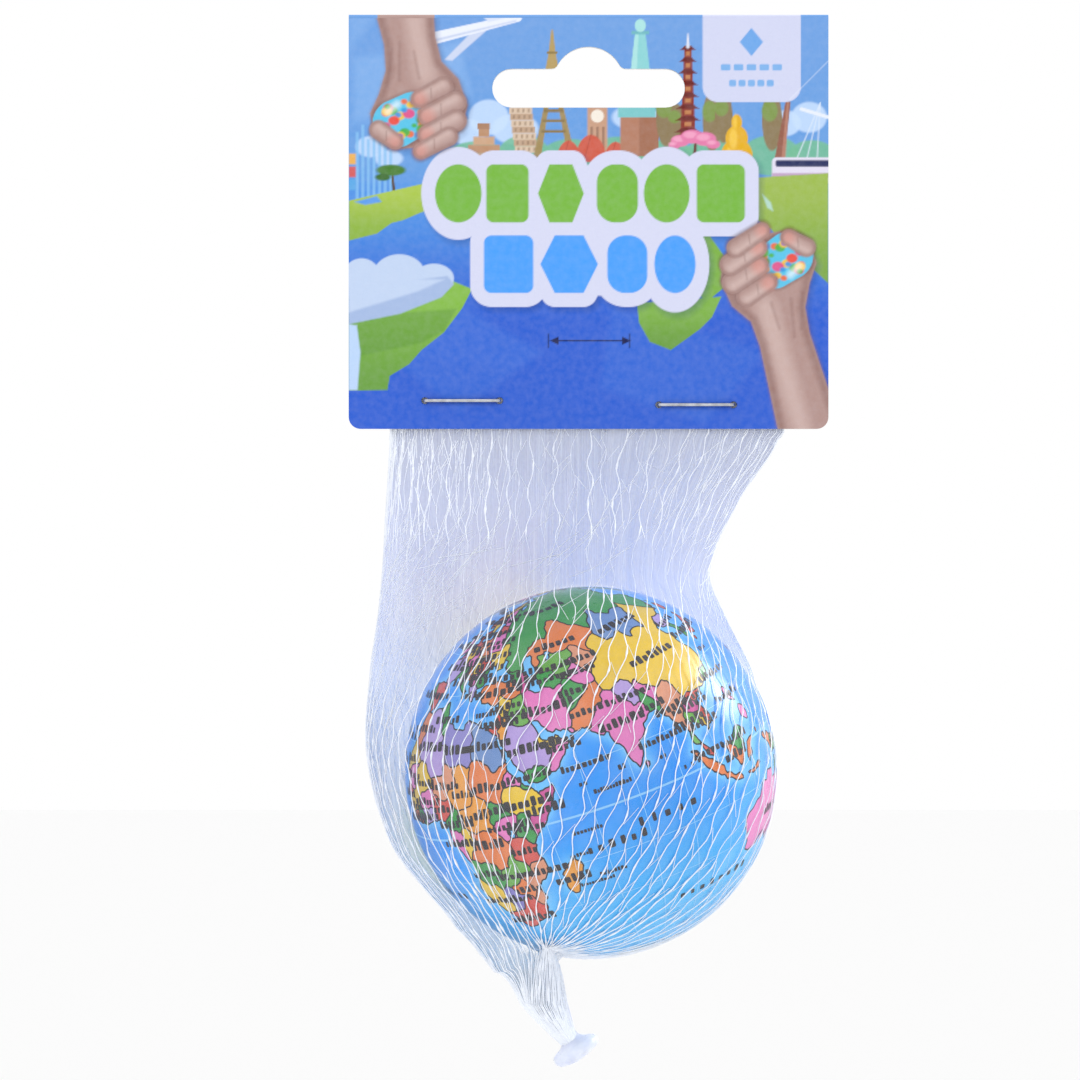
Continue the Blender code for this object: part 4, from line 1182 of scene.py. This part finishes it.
    # a coach
    art.paint(art.box(31.2, -23.3, 41.5, -18.8, 0.8), "DED9EC")
    art.paint(art.box(31.8, -20.4, 41.5, -19.3, 0.3), "2E3560")
    art.paint(art.box(31.2, -22.2, 41.5, -21.5), "B48CB4", 0.2, 0.8)
    for x in (32.6, 34.3):
        art.paint(art.disc(x, -23.2, 0.72), "30303C")
        art.paint(art.disc(x, -23.2, 0.3), "C9CBD8")
    for k in range(7):  # glass towers at the left
        left, top = -39.6 + k * 0.95, -14.5 + 1.4 * math.sin(k * 2.1)
        art.paint(art.box(left, -26, left + 0.5, top), "86BDEB", 0.25, 0.8)
    for i, tone in enumerate(("F0B23C", "D8553F", "5FA8E0")):
        art.paint(art.box(-40.8, -20 - i * 2.2, -39.6, -18.2 - i * 2.2), tone, 0.25, 0.9)
    # a flat-topped tree
    art.paint(art.bar((-33.0, -25.6), (-33.4, -21.6), 0.28, 0.18), "5C4A33")
    art.paint(art.disc(-33.6, -21.0, 2.5, 0.95), "4F7F3B", 0.25)
    art.paint(art.disc(-35.0, -22.2, 1.3, 0.6), "416E33", 0.25)
    # an aircraft
    art.area("-19.4 3, -24.5 -2.2, -23.2 -2.4, -16.4 3.6", "C9D3EC", 0.3)
    art.paint(art.bar((-26.5, 1.4), (-12.0, 4.9), 1.05, 0.65), "E6EBF8")
    art.paint(art.bar((-26.5, 1.0), (-12.4, 4.4), 0.2, 0.12), "B9C6E4", 0.3, 0.8)
    art.area("-17 4.2, -20 7, -18.4 7, -14.4 4.8", "D4DDF2", 0.3)


def paint_hand(art, place, turn, arm):
    """A closed hand round a small ball, in flat tones, drawn hanging down from its wrist."""
    cos, sin = math.cos(math.radians(turn)), math.sin(math.radians(turn))

    def at(x, z):
        return place[0] + x * cos - z * sin, place[1] + x * sin + z * cos

    skin, light, shade, dark = (linear(c) for c in ("B0918B", "CDB3AD", "87655F", "5F413D"))
    corners = rows(
        f"-5.4 {arm}, 5.6 {arm}, 4.6 13, 5 8.6, 7.4 5.2, 8.2 0.6, 6.6 -3.4,"
        "2.2 -5.4, -4 -5, -8.2 -1.6, -8.4 1.8, -6.4 4.8, -4.6 8.6, -4.2 13"
    )
    wrist = [at(x, z) for x, z in corners]
    body = art.shape(*wrist)
    art.paint(art.shape(*[(x + 0.5, z - 0.6) for x, z in wrist]), "1F3A78", 1.6, 0.42)
    art.paint(body, skin, 0.2)
    art.paint(np.maximum(body, art.bar(at(1.2, arm), at(1.8, 7), 1.4, 1.7)), light, 2.2, 0.75)
    art.paint(np.maximum(body, -body - 1.3), shade, 1.0, 0.55)
    for x, z, low_x, low_z in rows("-1.5 13 -2.6 6.6, -3 12 -4.8 6, 0.6 11 0.8 6.4"):  # sinews
        art.paint(art.bar(at(x, z), at(low_x, low_z), 0.1, 0.18), shade, 0.7, 0.5)
    ball = art.bar(at(-4.2, -0.6), at(-1.2, 0.4), 4.1, 3.9)
    art.paint(ball - 0.25, dark, 0.8, 0.55)
    art.paint(ball, "5CC0E4")
    blobs = np.random.default_rng(3)
    tones = "F0C330 E86B35 4FAF45 DE4F86 F0C330 8B62C0 4FAF45 E8452E F2A03A 3E93DB"
    for tone in tones.split() * 3:
        x, z, size = blobs.uniform(-7.0, 1.2), blobs.uniform(-3.4, 3.4), blobs.uniform(0.45, 1.05)
        art.paint(np.maximum(art.disc(*at(x, z), size, size * 0.8), ball + 0.35), tone, 0.3, 0.95)
    art.paint(np.maximum(ball, art.bar(at(-5.4, 1.6), at(-3.6, 2.6), 0.6)), "FFFFFF", 0.9, 0.5)
    fingers = (
        "4.6 4.2 0.4 2.9 1.65, 6.3 1.4 1.2 -0.2 1.75, 5.9 -1.7 0.6 -3.3 1.7,"
        "4.2 -4.2 -0.8 -5.9 1.5, -7.4 -1.2 -4.9 -3.6 1.5"
    )
    for x, z, end_x, end_z, radius in rows(fingers):  # knuckle, tip and thickness
        finger = art.bar(at(x, z), at(end_x, end_z), radius + 0.1, radius - 0.12)
        shadow = art.bar(at(x, z - 0.25), at(end_x - 0.2, end_z - 0.3), radius + 0.25, radius)
        art.paint(shadow, dark, 0.7, 0.6)
        art.paint(finger, skin, 0.2)
        top = art.bar(at(x, z + 0.55), at(end_x, end_z + 0.5), radius * 0.45, radius * 0.4)
        art.paint(np.maximum(finger, top), light, 1.3, 0.85)
        art.paint(np.maximum(finger, art.disc(*at(end_x - 0.1, end_z), radius * 0.75)), "D98A7E", 1.4, 0.5)
        art.paint(np.maximum(finger, -finger - 0.45), shade, 0.6, 0.55)
        crease_x, crease_z = (x + end_x) / 2, (z + end_z) / 2
        crease_end = at(crease_x - 0.2, crease_z - radius * 0.5)
        crease = art.bar(at(crease_x, crease_z + radius * 0.5), crease_end, 0.07)
        art.paint(np.maximum(finger, crease), shade, 0.35, 0.6)


def title_shape(art, index, left, right, low, high):
    """One plain shape of the title: a disc, a rounded square, a hexagon or a pill."""
    x, z, half, up = (left + right) / 2, (low + high) / 2, (right - left) / 2, (high - low) / 2
    kind = index % 4
    if kind == 0:
        return art.disc(x, z, half, up)
    if kind == 1:
        return art.box(left, low, right, high, 1.3)
    if kind == 2:
        top, bottom = [[(x + side * half / 2, level) for side in (-1, 1)] for level in (high, low)]
        return art.shape((x - half, z), *top, (x + half, z), *bottom[::-1])
    return art.box(left, low, right, high, half * 0.9)


def title_shapes(art, across, up):
    """The title's two rows of plain shapes, moved by across and up, and the plaque behind them."""
    lines = []
    for first, low, high, spans in (
        (0, -29.9, -20.0, "-26.1 -18.2, -17.4 -10.2, -8.6 -0.8, 1.4 8.4, 9.4 17.2, 18.4 26.6"),
        (1, -41.9, -32.1, "-17.8 -9.4, -8.2 1.6, 3.2 10, 11.2 18.2"),
    ):
        lines.append(
            [
                title_shape(art, first + i, left + across, right + across, low + up, high + up)
                for i, (left, right) in enumerate(rows(spans))
            ]
        )
    joined = [
        art.box(-24 + across, -27.5 + up, 24.6 + across, -22.5 + up, 1),
        art.box(-15.8 + across, -40 + up, 16.4 + across, -30 + up, 1),
    ]
    return *lines, np.minimum.reduce([*lines[0], *lines[1], *joined]) - 2.35


def paint_title(art):
    green, blue, plaque = title_shapes(art, 0, 0)
    art.paint(title_shapes(art, 0.5, -0.6)[2], "14306E", 1.5, 0.45)
    art.paint(plaque, "D2D5ED")
    for shape in green:
        art.paint(shape, "79B548")
    for shape in blue:
        art.paint(shape, "4F9EF4")


def paint_small(art):
    # the tab at the top right
    art.paint(art.box(19.4, -9.4, 36.1, 9.0, 2.6), "CED2EC")
    art.area("27.7 3.2, 25.7 0.8, 27.7 -1.6, 29.7 0.8", "6FA5E4")
    for z, half in ((-3.5, 5.2), (-6.2, 3.8)):
        for k in range(5):
            left = 27.7 - half + k * half * 0.42
            art.paint(art.box(left, z - 0.55, left + half * 0.32, z + 0.55, 0.3), "7FB0E6")
    # a plain dimension arrow
    dark = "1B2A55"
    art.paint(art.bar((-6.0, -50.0), (6.6, -50.0), 0.13), dark)
    for x, sign in ((-6.6, 1), (7.2, -1)):
        art.paint(art.shape((x, -50.0), (x + 1.5 * sign, -49.3), (x + 1.5 * sign, -50.7)), dark)
        art.paint(art.box(x - 0.35, -51.2, x - 0.15, -48.8), dark)
    # painted shadow under each staple, and painted shade round the holes its legs pass through
    for x, z in STAPLES:
        art.paint(art.bar((x - 6.4, z - 0.35), (x + 6.4, z - 0.35), 0.3), "1B3C93", 0.7, 0.5)
        for side in (-6.35, 6.35):
            art.paint(art.disc(x + side, z, 0.62, 0.5), "101B3C", 0.3, 0.95)
    art.paint(art.bar((34.2, -9.0), (40.8, -2.4), 0.05), "E6EEFA", 0.2, 0.6)


def paint_front(art):
    paint_ground(art)
    paint_skyline(art)
    paint_land(art)
    paint_title(art)
    paint_hand(art, (-28.6, -11.8), 9, 24)
    paint_hand(art, (30.2, -37.2), 195, 33)
    paint_small(art)


def paint_back(art):
    paint_ground(art)
    art.area("-40.8 -24, -20 -23, 4 -26, 24 -23, 40.8 -25, 40.8 -31, 10 -33, -24 -30, -40.8 -33", "8DB950")
    art.paint(art.box(-30, -58, 30, -36, 2.5), "E6E5F4")
    for i in range(5):
        for k in range(7 - i % 2):
            left, low = -26 + k * 7.4, -41.0 - i * 3.2
            art.paint(art.box(left, low, left + 6.2 - (k * 3 + i) % 4, low + 0.9, 0.4), "8FA3CC")


def make_print(name, left, right, pitch, face, painter):
    side = -1 if face < 0 else 1
    art = Sheet(left, right, pitch, card_edges(-side))
    painter(art)
    faces = art.faces if side < 0 else art.faces[:, ::-1]
    used, faces = np.unique(faces, return_inverse=True)
    points = np.stack([art.x * -side, np.full(len(art.x), face), art.z], -1)[used]
    sheet = new_piece(name, points, faces.reshape(-1, 4).tolist(), CARD_PRINT, smooth=False)
    colour_points(sheet, "print", np.clip(art.ink[used] * 1.02 - 0.02, 0, 1))
    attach(sheet, "card")
    return sheet


# ---------------------------------------------------------------- the whole thing

make_stage()

globe, prints = make_globe()
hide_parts("foam_core", "skin_belt", "skin_front", "skin_back")
for piece in (globe, *prints):
    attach(piece, "ball")
    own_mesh(piece)

nets = make_net()
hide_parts("net_header_band", "net_neck")
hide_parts("net_pouch")
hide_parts("net_tail")
for zone, parts in nets.items():
    for piece in parts:
        if zone == "upper":
            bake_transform(piece)
        elif zone == "shoulder":
            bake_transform(piece)
        elif zone == "ball":
            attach(piece, "pouch")
        else:
            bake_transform(piece)

BUTTON_LOOK = button_material()
button = make_button()
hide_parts("end_button")
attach(button, "tail")
rope = make_rope()
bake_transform(rope)

CARD_PRINT = print_material()
PITCH = 0.2
make_print("card_front_left", CARD_LEFT, 0.0, PITCH, -CARD_FACE - 0.02, paint_front)
make_print("card_front_right", 0.0, CARD_RIGHT, PITCH, -CARD_FACE - 0.02, paint_front)
make_print("card_back_print", CARD_LEFT, CARD_RIGHT, 0.4, CARD_FACE + 0.02, paint_back)
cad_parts["header_card"].data.materials[0] = card_material()
wire = wire_material()
for staple in ("staple_left", "staple_right"):
    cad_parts[staple].data.materials[0] = wire
